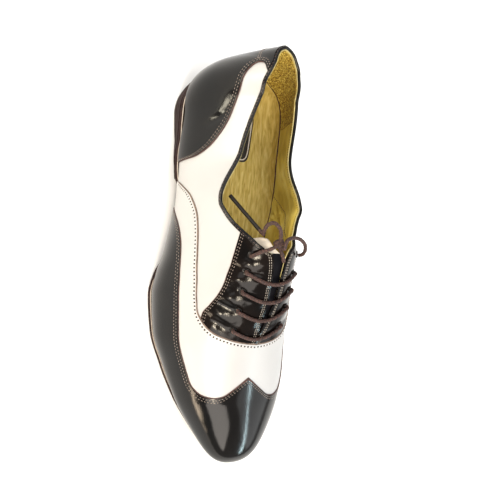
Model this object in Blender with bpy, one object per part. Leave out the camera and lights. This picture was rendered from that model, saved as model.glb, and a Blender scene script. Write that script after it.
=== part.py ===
"""A two-tone wing-tip oxford for dancing, right foot, as an assembly of closed solids.

Tables and routes are in millimetres in the last's own frame: x runs from the back of the heel to the tip of the
toe, y to the medial side and z up from the floor. The objects are in metres, with the origin under the middle.
"""
import bpy
import bmesh
import numpy as np
from mathutils import Vector

# Driving sizes, in millimetres
MM = 0.001
LENGTH = 282.0
HEEL_PIVOT = 36.0
TOE_PIVOT = 236.0
WALL = 2.0
OVERLAY = 1.2
GAP = 0.3
OVERLAY_GAP = 0.4
SOLE = 4.8
INSOLE = 2.4
TONGUE = 1.6
HEEL_BREAST = 85.0
HEEL_TAPER = 3.0
BREAST_SLANT = 2.0
CORD = 2.1
BAR_LIFT = 0.5
BAR_BOW = 7.0

# Shape of the last's sections and of its two round ends
TUCK_HEIGHT = 0.32
HEEL_FULL = 2.15
TOE_FULL = 2.05
RIGHT_ANGLE = np.pi / 2
LATERAL = -1
MEDIAL = 1

# Sections of the last. Before HEEL_PIVOT, x counts round the back of the heel.
# centre: ridge line, lean: the collar's shift to the medial side, lateral and medial: half widths,
# tuck: share of the half width by which the feather edge draws in, seat: height of the feather edge,
# cone: height where the two sides would meet, full: roundness
LAST_COLUMNS = ("x", "centre", "lean", "lateral", "medial", "tuck", "seat", "cone", "full")
LAST = np.array([
    (0.0, -1.0, 4.5, 37.5, 36.0, 0.07, 20.0, 150.0, 2.10),
    (18.0, -1.0, 4.5, 37.5, 36.0, 0.07, 20.0, 101.0, 1.70),
    (36.0, -1.0, 4.5, 37.5, 36.0, 0.07, 19.5, 90.5, 1.40),
    (70.0, -1.5, 3.0, 41.5, 38.5, 0.08, 18.5, 92.5, 1.40),
    (103.0, -1.5, 0.0, 42.5, 37.5, 0.13, 14.6, 111.0, 1.75),
    (135.0, -1.0, 0.0, 47.0, 36.5, 0.12, 9.0, 91.5, 2.00),
    (150.0, -0.3, 0.0, 51.0, 38.8, 0.09, 6.8, 83.9, 2.00),
    (165.0, 0.5, 0.0, 53.4, 41.5, 0.07, 5.6, 76.0, 2.00),
    (190.0, 1.6, 0.0, 51.8, 44.3, 0.07, 4.7, 60.7, 2.05),
    (212.0, 2.8, 0.0, 45.0, 44.7, 0.07, 5.1, 50.4, 2.15),
    (236.0, 5.5, 0.0, 37.5, 39.8, 0.07, 6.7, 42.0, 2.25),
    (260.0, 7.0, 0.0, 25.8, 28.2, 0.07, 9.0, 37.5, 2.30),
    (282.0, 7.0, 0.0, 12.0, 14.0, 0.07, 12.0, 33.0, 2.30),
])

# Height of the topline from the back of the heel to the top of the facings
TOPLINE_COLUMNS = ("x", "lateral", "medial")
TOPLINE = np.array([
    (0.0, 85.0, 85.0),
    (12.0, 84.0, 82.5),
    (24.0, 81.0, 79.5),
    (36.0, 76.5, 77.5),
    (50.0, 72.5, 74.5),
    (66.0, 69.5, 69.5),
    (82.0, 68.0, 66.5),
    (96.0, 66.8, 66.0),
    (103.0, 67.2, 66.8),
    (109.0, 71.5, 68.5),
    (115.0, 77.0, 71.5),
    (121.0, 82.3, 76.0),
    (127.0, 87.0, 83.0),
    (132.0, 88.5, 88.0),
    (137.0, 96.0, 96.0),
])

# Half width of the lacing gap between the facings
THROAT_COLUMNS = ("x", "half_gap")
THROAT = np.array([
    (127.0, 20.0),
    (133.0, 9.0),
    (138.0, 5.0),
    (145.0, 3.8),
    (158.0, 3.2),
    (171.0, 2.2),
    (186.0, 0.9),
    (190.0, 0.0),
])

# Rear edge of the wing-tip: angle up the section, place along the shoe
WING_COLUMNS = ("angle", "x")
WING = np.array([
    (0.0, 104.5),
    (8.0, 110.5),
    (15.0, 119.3),
    (19.0, 127.3),
    (22.5, 137.3),
    (26.0, 148.0),
    (29.0, 160.0),
    (31.0, 174.0),
    (32.3, 188.0),
    (33.3, 203.0),
    (34.8, 215.0),
    (37.5, 224.5),
    (44.0, 229.3),
    (52.0, 231.3),
    (60.5, 231.8),
    (69.0, 230.2),
    (76.0, 226.8),
    (83.0, 222.5),
    (90.0, 217.5),
])

# Upper edge of the heel counter: station along the heel, share of the height up to the topline
COUNTER_COLUMNS = ("station", "share")
COUNTER = np.array([
    (0.00, 0.970),
    (0.30, 0.970),
    (0.345, 0.930),
    (0.39, 0.850),
    (0.475, 0.810),
    (0.62, 0.785),
    (0.82, 0.770),
    (0.98, 0.755),
    (1.035, 0.730),
    (1.070, 0.690),
    (1.103, 0.630),
    (1.137, 0.560),
    (1.163, 0.460),
    (1.178, 0.330),
    (1.187, 0.150),
])
STRAP_STATIONS = (0.345, 0.39, 0.475)

# How far the outsole's edge stands out from the feather edge
WELT_COLUMNS = ("x", "stand")
WELT = np.array([
    (0.0, 0.0),
    (60.0, -0.3),
    (92.0, -3.0),
    (130.0, -3.0),
    (152.0, 0.2),
    (172.0, 0.7),
    (215.0, 0.6),
    (250.0, 0.2),
    (282.0, 0.0),
])

# Half width of the tongue, and how far its top end drops below the facings
TONGUE_COLUMNS = ("x", "half_width", "drop")
TONGUE_SHAPE = np.array([
    (127.5, 23.0, 3.6),
    (133.0, 23.0, 2.3),
    (142.0, 22.0, 0.2),
    (175.0, 20.0, 0.0),
    (206.0, 15.0, 0.0),
])

# Lace bars: row counted from the top of the facings, x of the lateral and of the medial eyelet,
# distance of the eyelets from the ridge line
LACE_BARS = (
    (2, 147.0, 146.5, 19.0),
    (3, 159.5, 157.5, 19.0),
    (4, 172.0, 169.0, 18.5),
    (5, 185.0, 181.5, 18.0),
)

# Routes of the tied lace
KNOT_CENTRE = (128.5, -5.5, 94.0)
KNOT_SIZE = (6.4, 6.0, 5.0)
RUN_LATERAL = ((137.2, -20.0, 85.5), (134.9, -16.7, 89.5), (131.9, -10.4, 94.5), (130.6, -8.1, 95.0))
LOOP_REAR = (
    (126.1, -6.3, 96.9), (123.4, -7.8, 99.6), (119.6, -10.8, 102.2), (116.9, -15.0, 102.4),
    (117.7, -16.5, 98.6), (120.4, -15.8, 93.6), (123.4, -13.9, 88.8),
)
LOOP_MEDIAL = (
    (131.9, -2.8, 95.6), (129.3, -3.3, 98.1), (126.9, -2.4, 98.7), (125.4, 0.5, 98.2),
    (124.9, 5.5, 96.8), (126.1, 11.5, 94.2), (129.5, 16.5, 91.2), (133.3, 17.8, 88.4),
    (134.9, 17.2, 86.6),
)
END_LONG = (
    (122.5, -14.3, 88.0), (118.5, -16.3, 84.4), (113.6, -18.6, 80.0), (108.7, -21.0, 75.6),
    (103.8, -23.3, 71.2), (98.9, -25.7, 66.8),
)
END_SHORT = ((131.9, -3.8, 92.6), (134.6, -2.4, 92.9), (137.4, -1.0, 92.4), (139.9, 0.2, 91.4))

# Fineness of the meshes
HEEL_STEPS = 10
SIDE_STEPS = 26
TOE_STEPS = 9
WALL_ROWS = 9
COUNTER_ROWS = 7
TONGUE_STEPS = 14
TONGUE_ROWS_PER_SIDE = 4
WING_STEPS = 14
WING_ROWS = (0, 5, 10, 15, 19, 22.5, 25.5, 28, 30, 31.5, 33, 35, 38, 48, 62, 76, 90)
SOLE_COLUMNS = 3
TOPLINE_TURNS = (127.0, 129.0, 131.0, 133.0, 135.5, 138.0, 186.0, 190.0)
KNOT_SEGMENTS = 10
KNOT_RINGS = 6
BAR_POINTS = 12
CORD_POINT_PITCH = 2.2
CORD_SIDES_RESOLUTION = 2
SHARP_ANGLE = np.radians(40)


def clear_scene():
    """Removes whatever the file opened with."""
    for item in list(bpy.data.objects):
        bpy.data.objects.remove(item, do_unlink=True)


def material(name, colour, roughness):
    """A plain leather or cord finish."""
    made = bpy.data.materials.new(name)
    made.use_nodes = True
    shader = made.node_tree.nodes["Principled BSDF"]
    shader.inputs["Base Color"].default_value = (*colour, 1.0)
    shader.inputs["Roughness"].default_value = roughness
    shader.inputs["Metallic"].default_value = 0.0
    return made


def monotone(places, values, query):
    """Smooth curve through a table's rows that never overshoots them."""
    width = np.diff(places)
    rise = np.diff(values) / width
    tangent = np.zeros(len(places))
    tangent[0] = rise[0]
    tangent[-1] = rise[-1]
    for i in range(1, len(places) - 1):
        if rise[i - 1] * rise[i] > 0:
            before = 2 * width[i] + width[i - 1]
            after = width[i] + 2 * width[i - 1]
            tangent[i] = (before + after) / (before / rise[i - 1] + after / rise[i])
    query = np.clip(np.asarray(query, float), places[0], places[-1])
    k = np.clip(np.searchsorted(places, query, side="right") - 1, 0, len(places) - 2)
    s = (query - places[k]) / width[k]
    return ((1 + 2 * s) * (1 - s) ** 2 * values[k] + s * (1 - s) ** 2 * width[k] * tangent[k]
            + s * s * (3 - 2 * s) * values[k + 1] + s * s * (s - 1) * width[k] * tangent[k + 1])


def read(table, columns, name, query):
    """A named column of a table at any place between its rows."""
    return monotone(table[:, 0], table[:, columns.index(name)], query)


def last(name, x):
    return read(LAST, LAST_COLUMNS, name, x)


def last_slope(name, x):
    """Slope of a column just behind a place."""
    return last(name, x) - last(name, x - 1.0)


def side_name(side):
    return "medial" if side == MEDIAL else "lateral"


def table_place(t):
    """Row of the last's table for a station: 0 to 1 round the heel, to 2 along the side, to 3 round the toe."""
    return HEEL_PIVOT * np.clip(t, 0, 1) + (TOE_PIVOT - HEEL_PIVOT) * np.clip(t - 1, 0, 1)


def station_at(x):
    """Station of a place along the straight part of the side."""
    return 1 + (np.asarray(x, float) - HEEL_PIVOT) / (TOE_PIVOT - HEEL_PIVOT)


def plan(side, t):
    """Spine point of a station and the reach from it to the widest outline."""
    heel = np.clip(t, 0, 1) * RIGHT_ANGLE
    toe = (1 - np.clip(t - 2, 0, 1)) * RIGHT_ANGLE
    spine = HEEL_PIVOT + (TOE_PIVOT - HEEL_PIVOT) * np.clip(t - 1, 0, 1)
    half = last(side_name(side), spine)
    toe_reach = (LENGTH - TOE_PIVOT) * np.maximum(np.cos(toe), 0) ** (2 / TOE_FULL)
    toe_half = (half * np.sin(toe) ** (2 / TOE_FULL)
                + last_slope(side_name(side), TOE_PIVOT) * toe_reach * np.sin(toe) ** 2)
    heel_reach = -HEEL_PIVOT * np.maximum(np.cos(heel), 0) ** (2 / HEEL_FULL)
    heel_half = half * np.sin(heel) ** (2 / HEEL_FULL)
    along = np.where(t < 1, heel_reach, np.where(t > 2, toe_reach, 0.0))
    across = np.where(t < 1, heel_half, np.where(t > 2, toe_half, half))
    return spine, along, across


def surface(side, t, angle):
    """Point on the outside of the upper: angle is 0 at the feather edge and a right angle on the ridge."""
    t, angle = np.broadcast_arrays(np.asarray(t, float), np.asarray(angle, float))
    spine, along, across = plan(side, t)
    place = table_place(t)
    seat = last("seat", spine + along)
    up = np.sin(angle) ** (2 / last("full", place))
    out = np.maximum(np.cos(angle), 0) ** (2 / last("full", place))
    out = out * (1 - last("tuck", place) * np.clip(1 - up / TUCK_HEIGHT, 0, 1) ** 2)
    bend = np.where(t > 2, last_slope("centre", TOE_PIVOT) * along, 0.0)
    tilt = np.where(t > 2, last_slope("cone", TOE_PIVOT) * along, 0.0)
    x = spine + along * out
    y = last("centre", spine) + (side * across + bend) * out + last("lean", place) * up
    z = seat + (last("cone", place) - seat) * up + tilt * out * up ** 2
    return np.stack([x, y, z], -1)


def angle_at_height(side, t, z):
    """Angle up the section where the wall reaches a height."""
    spine, along, across = plan(side, t)
    place = table_place(t)
    seat = last("seat", spine + along)
    up = np.clip((z - seat) / (last("cone", place) - seat), 0, 1)
    return np.arcsin(up ** (last("full", place) / 2))


def angle_at_offset(side, t, offset):
    """Angle up the section where the wall comes within an offset of the ridge line."""
    spine, along, across = plan(side, t)
    share = np.clip(offset / np.maximum(across, offset + MM), 0, 1)
    return np.arccos(share ** (last("full", table_place(t)) / 2))


def edge_angle(side, t):
    """Where the upper ends: at the topline, at the lacing gap or on the closed ridge."""
    place = table_place(t)
    under_topline = angle_at_height(side, t, read(TOPLINE, TOPLINE_COLUMNS, side_name(side), place))
    beside_gap = angle_at_offset(side, t, read(THROAT, THROAT_COLUMNS, "half_gap", place))
    angle = np.where(place < TOPLINE[-1, 0], under_topline, RIGHT_ANGLE)
    angle = np.where(place > THROAT[0, 0], np.minimum(angle, beside_gap), angle)
    return np.where(place >= THROAT[-1, 0], RIGHT_ANGLE, angle)


def weld(grids):
    """Joins grids of points into vertices and faces, sharing the points that coincide."""
    index = {}
    points = []
    faces = []
    for grid, turned in grids:
        names = np.empty(grid.shape[:2], int)
        for i, j in np.ndindex(*grid.shape[:2]):
            key = tuple(np.round(grid[i, j], 4) + 0.0)
            if key not in index:
                index[key] = len(points)
                points.append(grid[i, j])
            names[i, j] = index[key]
        for i, j in np.ndindex(grid.shape[0] - 1, grid.shape[1] - 1):
            corners = [names[i, j], names[i + 1, j], names[i + 1, j + 1], names[i, j + 1]]
            face = list(dict.fromkeys(corners))
            if turned:
                face.reverse()
            if len(face) > 2:
                faces.append([int(corner) for corner in face])
    return np.array(points), faces


def point_normals(points, faces):
    """Outward direction at each vertex, averaged from the faces around it."""
    normals = np.zeros_like(points)
    for face in faces:
        first, second = (points[face[2]] - points[face[0]], points[face[-1]] - points[face[1]])
        cross = np.cross(first, second)
        for corner in face:
            normals[corner] += cross
    return normals / np.linalg.norm(normals, axis=1)[:, None]


def shell(points, faces, inner, outer):
    """Closed wall between two offsets of an open surface, with a rim along its border."""
    normals = point_normals(points, faces)
    count = len(points)
    inside = points + normals * np.reshape(inner, (-1, 1))
    outside = points + normals * np.reshape(outer, (-1, 1))
    edges = set()
    for face in faces:
        edges.update(zip(face, face[1:] + face[:1]))
    solid = list(faces)
    for face in faces:
        solid.append([corner + count for corner in reversed(face)])
    for start, end in edges:
        if (end, start) not in edges:
            solid.append([end, start, start + count, end + count])
    return np.vstack([outside, inside]), solid


def add_mesh(name, points, faces, finish):
    """A closed mesh object in metres, shaded smooth with crisp edges."""
    mesh = bpy.data.meshes.new(name)
    mesh.from_pydata((np.asarray(points) * MM).tolist(), [], faces)
    work = bmesh.new()
    work.from_mesh(mesh)
    bmesh.ops.recalc_face_normals(work, faces=work.faces)
    work.to_mesh(mesh)
    work.free()
    mesh.shade_smooth()
    mesh.set_sharp_from_angle(angle=SHARP_ANGLE)
    made = bpy.data.objects.new(name, mesh)
    made.data.materials.append(finish)
    bpy.context.collection.objects.link(made)
    return made


def stations():
    """Stations from the back of the heel to the tip of the toe, closer where the topline turns."""
    heel = np.linspace(0, 1, HEEL_STEPS + 1)
    side = np.linspace(1, 2, SIDE_STEPS + 1)[1:]
    toe = np.linspace(2, 3, TOE_STEPS + 1)[1:]
    return np.unique(np.round(np.concatenate([heel, side, toe, station_at(TOPLINE_TURNS)]), 5))


def both_sides(build):
    """Welds the lateral and the medial grid of a surface."""
    return weld([(build(LATERAL), False), (build(MEDIAL), True)])


def add_upper(finish):
    """One hollow wall, open at the collar, down the lacing gap and underneath."""
    places = stations()
    shares = np.linspace(0, 1, WALL_ROWS + 1)

    def build(side):
        angles = edge_angle(side, places)[:, None] * shares[None, :]
        return surface(side, places[:, None], angles)

    points, faces = both_sides(build)
    solid, solid_faces = shell(points, faces, np.full(len(points), -WALL), np.zeros(len(points)))
    seat = last("seat", points[:, 0])
    at_feather = np.abs(points[:, 2] - seat) < MM
    inside = solid[len(points):]
    inside[at_feather, 2] = last("seat", inside[at_feather, 0])
    add_mesh("upper", solid, solid_faces, finish)


def plan_edge(places, stand):
    """Plan outline at the feather edge, moved out by a distance that may vary along the shoe."""
    edges = []
    for side in (LATERAL, MEDIAL):
        edge = surface(side, places, 0.0)[:, :2]
        edges.append(edge)
    loop = np.vstack([edges[0], edges[1][::-1]])
    ahead = np.roll(loop, -1, axis=0)
    behind = np.roll(loop, 1, axis=0)
    count = len(places)
    ahead[[count - 1, 2 * count - 1]] = loop[[count + 1, 1]]
    behind[[0, count]] = loop[[2 * count - 2, count - 2]]
    along = ahead - behind
    normal = np.stack([along[:, 1], -along[:, 0]], -1)
    normal /= np.linalg.norm(normal, axis=1)[:, None]
    moved = loop + normal * np.reshape(stand(loop[:, 0]), (-1, 1))
    return moved[:count], moved[count:][::-1]


def slab(top_edge, bottom_edge, top_height, bottom_height):
    """Closed block between an upper and a lower plan outline, each a lateral and a medial line."""
    share = np.linspace(0, 1, SOLE_COLUMNS + 1)[None, :, None]

    def level(edge, height):
        lateral, medial = edge
        flat = lateral[:, None, :] * (1 - share) + medial[:, None, :] * share
        return np.concatenate([flat, height(flat[..., 0])[..., None]], -1)

    top = level(top_edge, top_height)
    bottom = level(bottom_edge, bottom_height)
    lateral_wall = np.stack([bottom[:, 0], top[:, 0]], 1)
    medial_wall = np.stack([bottom[:, -1], top[:, -1]], 1)
    front_wall = np.stack([bottom[-1], top[-1]], 1)
    return weld([(top, False), (bottom, True), (lateral_wall, False), (medial_wall, True), (front_wall, False)])


def sole_stand(x):
    return read(WELT, WELT_COLUMNS, "stand", x)


def sole_top(x):
    return last("seat", x) - GAP


def sole_bottom(x):
    """Underside of the outsole, flat on the floor under the ball of the foot."""
    return np.maximum(sole_top(x) - SOLE, 0.0)


def add_outsole(finish):
    """Leather sole with the shank's arch, the toe spring and a flat tread under the ball."""
    edge = plan_edge(stations(), sole_stand)
    add_mesh("outsole", *slab(edge, edge, sole_top, sole_bottom), finish)


def add_heel(finish):
    """Stacked heel block, tapering to its flat tread, with a straight breast."""
    breast = float(station_at(HEEL_BREAST))
    places = np.unique(np.append(stations(), breast))
    count = np.count_nonzero(places <= breast)
    top = [line[:count] for line in plan_edge(places, sole_stand)]
    bottom = [line[:count] for line in plan_edge(places, lambda x: sole_stand(x) - HEEL_TAPER)]
    for upper_line, lower_line in zip(top, bottom):
        upper_line[-1, 0] = HEEL_BREAST
        lower_line[-1, 0] = HEEL_BREAST - BREAST_SLANT
    flat = np.zeros_like
    add_mesh("heel", *slab(top, bottom, lambda x: sole_bottom(x) - GAP, flat), finish)


def add_insole(finish):
    """Sock and board that fill the inside from wall to wall."""
    edge = plan_edge(stations(), lambda x: np.full_like(x, -WALL - 2 * GAP))
    add_mesh("insole", *slab(edge, edge, lambda x: last("seat", x) + INSOLE, lambda x: last("seat", x)), finish)


def add_tongue(finish):
    """Curved tongue under the facings and the top of the vamp."""
    places = station_at(np.linspace(TONGUE_SHAPE[0, 0], TONGUE_SHAPE[-1, 0], TONGUE_STEPS + 1))
    shares = np.linspace(0, 1, TONGUE_ROWS_PER_SIDE + 1)

    def build(side):
        half = read(TONGUE_SHAPE, TONGUE_COLUMNS, "half_width", table_place(places))
        low = angle_at_offset(side, places, half)[:, None]
        return surface(side, places[:, None], low + (RIGHT_ANGLE - low) * shares[None, :])

    points, faces = both_sides(build)
    outer = -WALL - 2 * GAP - read(TONGUE_SHAPE, TONGUE_COLUMNS, "drop", points[:, 0])
    add_mesh("tongue", *shell(points, faces, outer - TONGUE, outer), finish)


def overlay(points, faces):
    """Thin panel lying a hair above the upper."""
    count = len(points)
    return shell(points, faces, np.full(count, OVERLAY_GAP), np.full(count, OVERLAY_GAP + OVERLAY))


def add_wingtip(finish):
    """Toe piece with its peak on the ridge and two wings running back to the waist."""
    angles = np.array(WING_ROWS)
    along_side = np.linspace(0, 1, WING_STEPS + 1)[:-1, None]
    round_toe = np.linspace(2, 3, TOE_STEPS + 1)[:, None] + np.zeros_like(angles)

    def build(side):
        start = station_at(read(WING, WING_COLUMNS, "x", angles))[None, :]
        places = np.vstack([start + (2 - start) * along_side, round_toe])
        return surface(side, places, np.radians(angles)[None, :])

    add_mesh("wingtip", *overlay(*both_sides(build)), finish)


def add_counter(finish):
    """Back piece round the heel, with a strap up to the topline."""
    places = np.linspace(0, 1, HEEL_STEPS + 1)
    places = np.unique(np.concatenate([places, COUNTER[COUNTER[:, 0] > 1, 0], STRAP_STATIONS]))
    shares = np.linspace(0, 1, COUNTER_ROWS + 1)

    def build(side):
        top = edge_angle(side, places) * read(COUNTER, COUNTER_COLUMNS, "share", places)
        return surface(side, places[:, None], top[:, None] * shares[None, :])

    add_mesh("heel_counter", *overlay(*both_sides(build)), finish)


def over_facing(x, offset, lift):
    """Point a lift above the facings, at an offset from the ridge line, negative on the lateral side."""
    side = MEDIAL if offset > 0 else LATERAL
    t = station_at(x)
    angle = angle_at_offset(side, t, abs(offset))
    here = surface(side, t, angle)
    along = surface(side, t + MM, angle) - here
    up = surface(side, t, angle + MM * side) - here
    normal = np.cross(up, along)
    return here + normal / np.linalg.norm(normal) * lift


def add_cord(name, route, finish):
    """Round cord along a smooth curve through a route's points."""
    route = np.array(route)
    steps = np.concatenate([[0], np.cumsum(np.linalg.norm(np.diff(route, axis=0), axis=1))])
    count = max(int(np.ceil(steps[-1] / (CORD * CORD_POINT_PITCH))), 3) + 1
    walk = np.linspace(0, steps[-1], count)
    smooth = np.stack([catmull(steps, route[:, axis], walk) for axis in range(3)], -1)
    curve = bpy.data.curves.new(name, "CURVE")
    curve.dimensions = "3D"
    curve.bevel_depth = CORD / 2 * MM
    curve.bevel_resolution = CORD_SIDES_RESOLUTION
    curve.use_fill_caps = True
    spline = curve.splines.new("POLY")
    spline.points.add(count - 1)
    for place, point in zip(spline.points, smooth):
        place.co = (*(point * MM), 1.0)
    made = bpy.data.objects.new(name, curve)
    made.data.materials.append(finish)
    bpy.context.collection.objects.link(made)


def catmull(places, values, query):
    """Smooth curve through every point of a route."""
    tangent = np.gradient(values, places)
    k = np.clip(np.searchsorted(places, query, side="right") - 1, 0, len(places) - 2)
    width = places[k + 1] - places[k]
    s = (query - places[k]) / width
    return ((1 + 2 * s) * (1 - s) ** 2 * values[k] + s * (1 - s) ** 2 * width * tangent[k]
            + s * s * (3 - 2 * s) * values[k + 1] + s * s * (s - 1) * width * tangent[k + 1])


def add_lace_bars(finish):
    """The four lower rows of the lace, each a bar bowed towards the toe."""
    walk = np.linspace(0, 1, BAR_POINTS)
    for row, lateral_x, medial_x, spread in LACE_BARS:
        along = lateral_x + (medial_x - lateral_x) * walk + BAR_BOW * np.sin(np.pi * walk)
        offset = spread * (2 * walk - 1)
        route = [over_facing(x, y, CORD / 2 + BAR_LIFT) for x, y in zip(along, offset)]
        add_cord(f"lace_bar_{row}", route, finish)


def add_knot(finish):
    """Small tight knot over the top of the tongue."""
    work = bmesh.new()
    bmesh.ops.create_uvsphere(work, u_segments=KNOT_SEGMENTS, v_segments=KNOT_RINGS, radius=0.5)
    for corner in work.verts:
        corner.co = Vector([(corner.co[i] * KNOT_SIZE[i] + KNOT_CENTRE[i]) * MM for i in range(3)])
    mesh = bpy.data.meshes.new("lace_knot")
    work.to_mesh(mesh)
    work.free()
    mesh.shade_smooth()
    made = bpy.data.objects.new("lace_knot", mesh)
    made.data.materials.append(finish)
    bpy.context.collection.objects.link(made)


def stand_on_origin():
    """Hangs every piece on one empty, so that the origin lies under the middle of the shoe's box."""
    pieces = [item for item in bpy.data.objects if not item.name.startswith("lace")]
    corners = np.array([corner for item in pieces for corner in item.bound_box])
    middle = (corners.min(axis=0) + corners.max(axis=0)) / 2
    root = bpy.data.objects.new("shoe", None)
    bpy.context.collection.objects.link(root)
    root.location = (-middle[0], -middle[1], 0.0)
    for item in bpy.data.objects:
        if item is not root:
            item.parent = root


def main():
    clear_scene()
    white = material("white_leather", (0.88, 0.84, 0.80), 0.42)
    patent = material("black_patent", (0.012, 0.010, 0.010), 0.12)
    tan = material("tan_lining", (0.50, 0.36, 0.10), 0.6)
    brown = material("brown_sole_leather", (0.055, 0.026, 0.020), 0.45)
    lace = material("brown_lace", (0.070, 0.030, 0.020), 0.7)
    add_outsole(brown)
    add_heel(brown)
    add_upper(white)
    add_insole(tan)
    add_tongue(patent)
    add_wingtip(patent)
    add_counter(patent)
    add_lace_bars(lace)
    add_cord("lace_run_lateral", RUN_LATERAL, lace)
    add_knot(lace)
    add_cord("lace_loop_rear", LOOP_REAR, lace)
    add_cord("lace_loop_medial", LOOP_MEDIAL, lace)
    add_cord("lace_end_long", END_LONG, lace)
    add_cord("lace_end_short", END_SHORT, lace)
    stand_on_origin()


main()
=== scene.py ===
"""Looks of a two-tone wing-tip oxford for dancing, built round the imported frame.

Tables and routes are in millimetres in the last's own frame: x runs from the back of the heel to the tip
of the toe, y to the medial side and z up from the floor. A place counts along the side of the last: up to
HEEL_PIVOT it goes round the heel, up to TOE_PIVOT it is x, and the next TOE_SPAN go round the toe. Meshes
are made in metres in the row frame.
"""

import bmesh
import bpy
import numpy as np
from mathutils import Matrix, Quaternion, Vector


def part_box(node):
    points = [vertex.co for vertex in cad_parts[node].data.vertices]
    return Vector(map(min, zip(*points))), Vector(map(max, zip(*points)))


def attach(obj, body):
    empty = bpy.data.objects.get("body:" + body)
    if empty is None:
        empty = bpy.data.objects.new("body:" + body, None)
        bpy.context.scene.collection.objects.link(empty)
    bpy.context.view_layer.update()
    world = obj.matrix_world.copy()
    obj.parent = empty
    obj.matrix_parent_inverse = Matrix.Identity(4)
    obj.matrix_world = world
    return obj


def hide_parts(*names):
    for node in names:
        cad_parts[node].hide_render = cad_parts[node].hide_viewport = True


def table(names, *rows):
    """Columns of a table by their names."""
    return dict(zip(names.split(), np.array(rows).T))


# Main sizes in millimetres, and the roundness of the plan
MM = 0.001
LENGTH = 282.0
HEEL_PIVOT = 36.0
TOE_PIVOT = 236.0
TOE_SPAN = 100.0
SOLE = 4.8
INSOLE = 2.4
HEEL_BREAST = 85.0
BACK_TAPER = 2.2
BREAST_TAPER = 6.0
TAPER_END = 75.0
BREAST_SLANT = 2.0
GAP = 0.3
CORD = 2.4
TUCK_HEIGHT = 0.32
HEEL_FULL = 2.15
TOE_FULL = 2.05
RIGHT_ANGLE = np.pi / 2
LATERAL = -1
MEDIAL = 1
SIDES = (LATERAL, MEDIAL)

# Camera of the photograph, in the last's frame, for a picture of 500 by 500
CAMERA_PLACE = (144.07, -260.70, 478.56)
CAMERA_TURN = (1.86911, 1.94396, 0.52215)
FOCAL_PIXELS = 748.13
PICTURE = 500.0

# Heights of the layers of leather above the surface of the last
BASE = (-1.25, 0.0)
LINING = (-1.9, -1.35)
GRIP = (-2.2, -1.9)
FACING = (0.02, 0.45)
VAMP = (0.05, 0.75)
WING = (0.55, 1.45)
COUNTER = (0.1, 1.2)
# Rounding of a cut edge: its width and the share of the thickness that it takes
CUT_ROUND = 0.7
CUT_SHARE = 0.4
# Distances of a panel's close columns from its visible edge, count of the columns that measure its width, and
# the least width
CLOSE_COLUMNS = np.array([0.0, 0.12, 0.3, 0.55, 0.9, 1.6])
ROUGH_COLUMNS = 24
LEAST_WIDTH = 0.5

# Sections of the last: centre line, lean of the collar, half widths, tuck of the feather edge, its height,
# height of the cone, roundness
LAST = table(
    "x centre lean lateral medial tuck seat cone full",
    (0.0, -1.0, 4.8, 37.5, 36.7, 0.07, 20.0, 163.9, 2.12),
    (9.0, -1.0, 4.2, 37.5, 36.7, 0.07, 20.0, 108.8, 1.97),
    (18.0, -1.0, 3.4, 37.5, 36.7, 0.07, 20.0, 97.6, 1.71),
    (36.0, -1.0, 4.85, 37.5, 36.7, 0.07, 19.5, 90.5, 1.40),
    (70.0, -1.5, 3.0, 40.6, 34.5, 0.08, 18.5, 92.5, 1.40),
    (103.0, -1.5, 0.0, 42.5, 38.1, 0.13, 14.6, 111.0, 1.75),
    (135.0, -1.0, 0.0, 47.0, 36.5, 0.12, 9.0, 91.5, 2.00),
    (150.0, -0.3, 0.0, 51.0, 38.8, 0.09, 6.8, 83.9, 2.00),
    (165.0, 0.5, 0.0, 53.4, 41.5, 0.07, 5.6, 76.0, 2.00),
    (190.0, 1.6, 0.0, 51.8, 44.3, 0.07, 4.7, 60.7, 2.05),
    (212.0, 2.8, 0.0, 45.0, 44.7, 0.07, 5.1, 50.4, 2.15),
    (236.0, 5.5, 0.0, 37.5, 39.8, 0.07, 6.7, 42.0, 2.25),
    (260.0, 7.0, 0.0, 25.8, 28.2, 0.07, 9.0, 37.5, 2.30),
    (282.0, 7.0, 0.0, 12.0, 14.0, 0.07, 12.0, 33.0, 2.30),
)

# Loss of roundness where the medial quarter leans in below the facing
MEDIAL_LEAN = table(
    "x loss",
    (0.0, 0.0), (103.0, 0.0), (112.0, 0.33), (118.0, 0.46), (124.0, 0.49), (130.0, 0.26), (136.0, 0.0),
    (282.0, 0.0),
)

# Height of the topline
TOPLINE = table(
    "x lateral medial",
    (0.0, 85.3, 85.3), (9.0, 86.8, 82.3), (18.0, 83.8, 79.7), (27.0, 80.0, 78.6), (36.0, 76.5, 77.8),
    (50.0, 72.8, 74.3), (66.0, 70.4, 67.8), (82.0, 69.0, 63.6), (96.0, 68.6, 67.8), (103.0, 69.8, 69.9),
    (109.0, 73.9, 73.3), (115.0, 78.8, 77.9), (121.0, 84.1, 83.0), (127.0, 88.2, 87.4), (132.0, 89.7, 90.5),
    (137.0, 96.0, 96.0),
)

# Distance of the two edges of the lacing gap from the ridge line
THROAT = table(
    "x lateral medial",
    (127.0, 20.0, 12.0), (131.5, 13.8, 7.8), (134.0, 11.0, 6.4), (135.8, 6.6, 5.7), (140.6, 4.4, 5.0),
    (147.0, 2.9, 5.0), (152.0, 2.2, 5.0), (164.0, 1.1, 5.0), (171.0, 0.6, 4.3), (178.0, 0.4, 3.6),
    (184.0, 0.2, 2.4), (190.0, 0.0, 0.0),
)

# Stand of the outsole's edge beyond the feather edge
WELT = table(
    "x stand",
    (0.0, -1.2), (14.0, -0.8), (20.0, -0.2), (26.0, 0.8), (32.0, 1.6), (40.0, 2.2), (48.0, 2.0),
    (58.0, 1.2), (67.0, 1.4), (78.0, 1.2), (85.0, 0.4), (92.0, -2.6), (130.0, -2.6), (150.0, 1.2),
    (165.0, 2.0), (215.0, 1.9), (236.0, 1.2), (250.0, 0.7), (282.0, 0.4),
)

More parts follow.
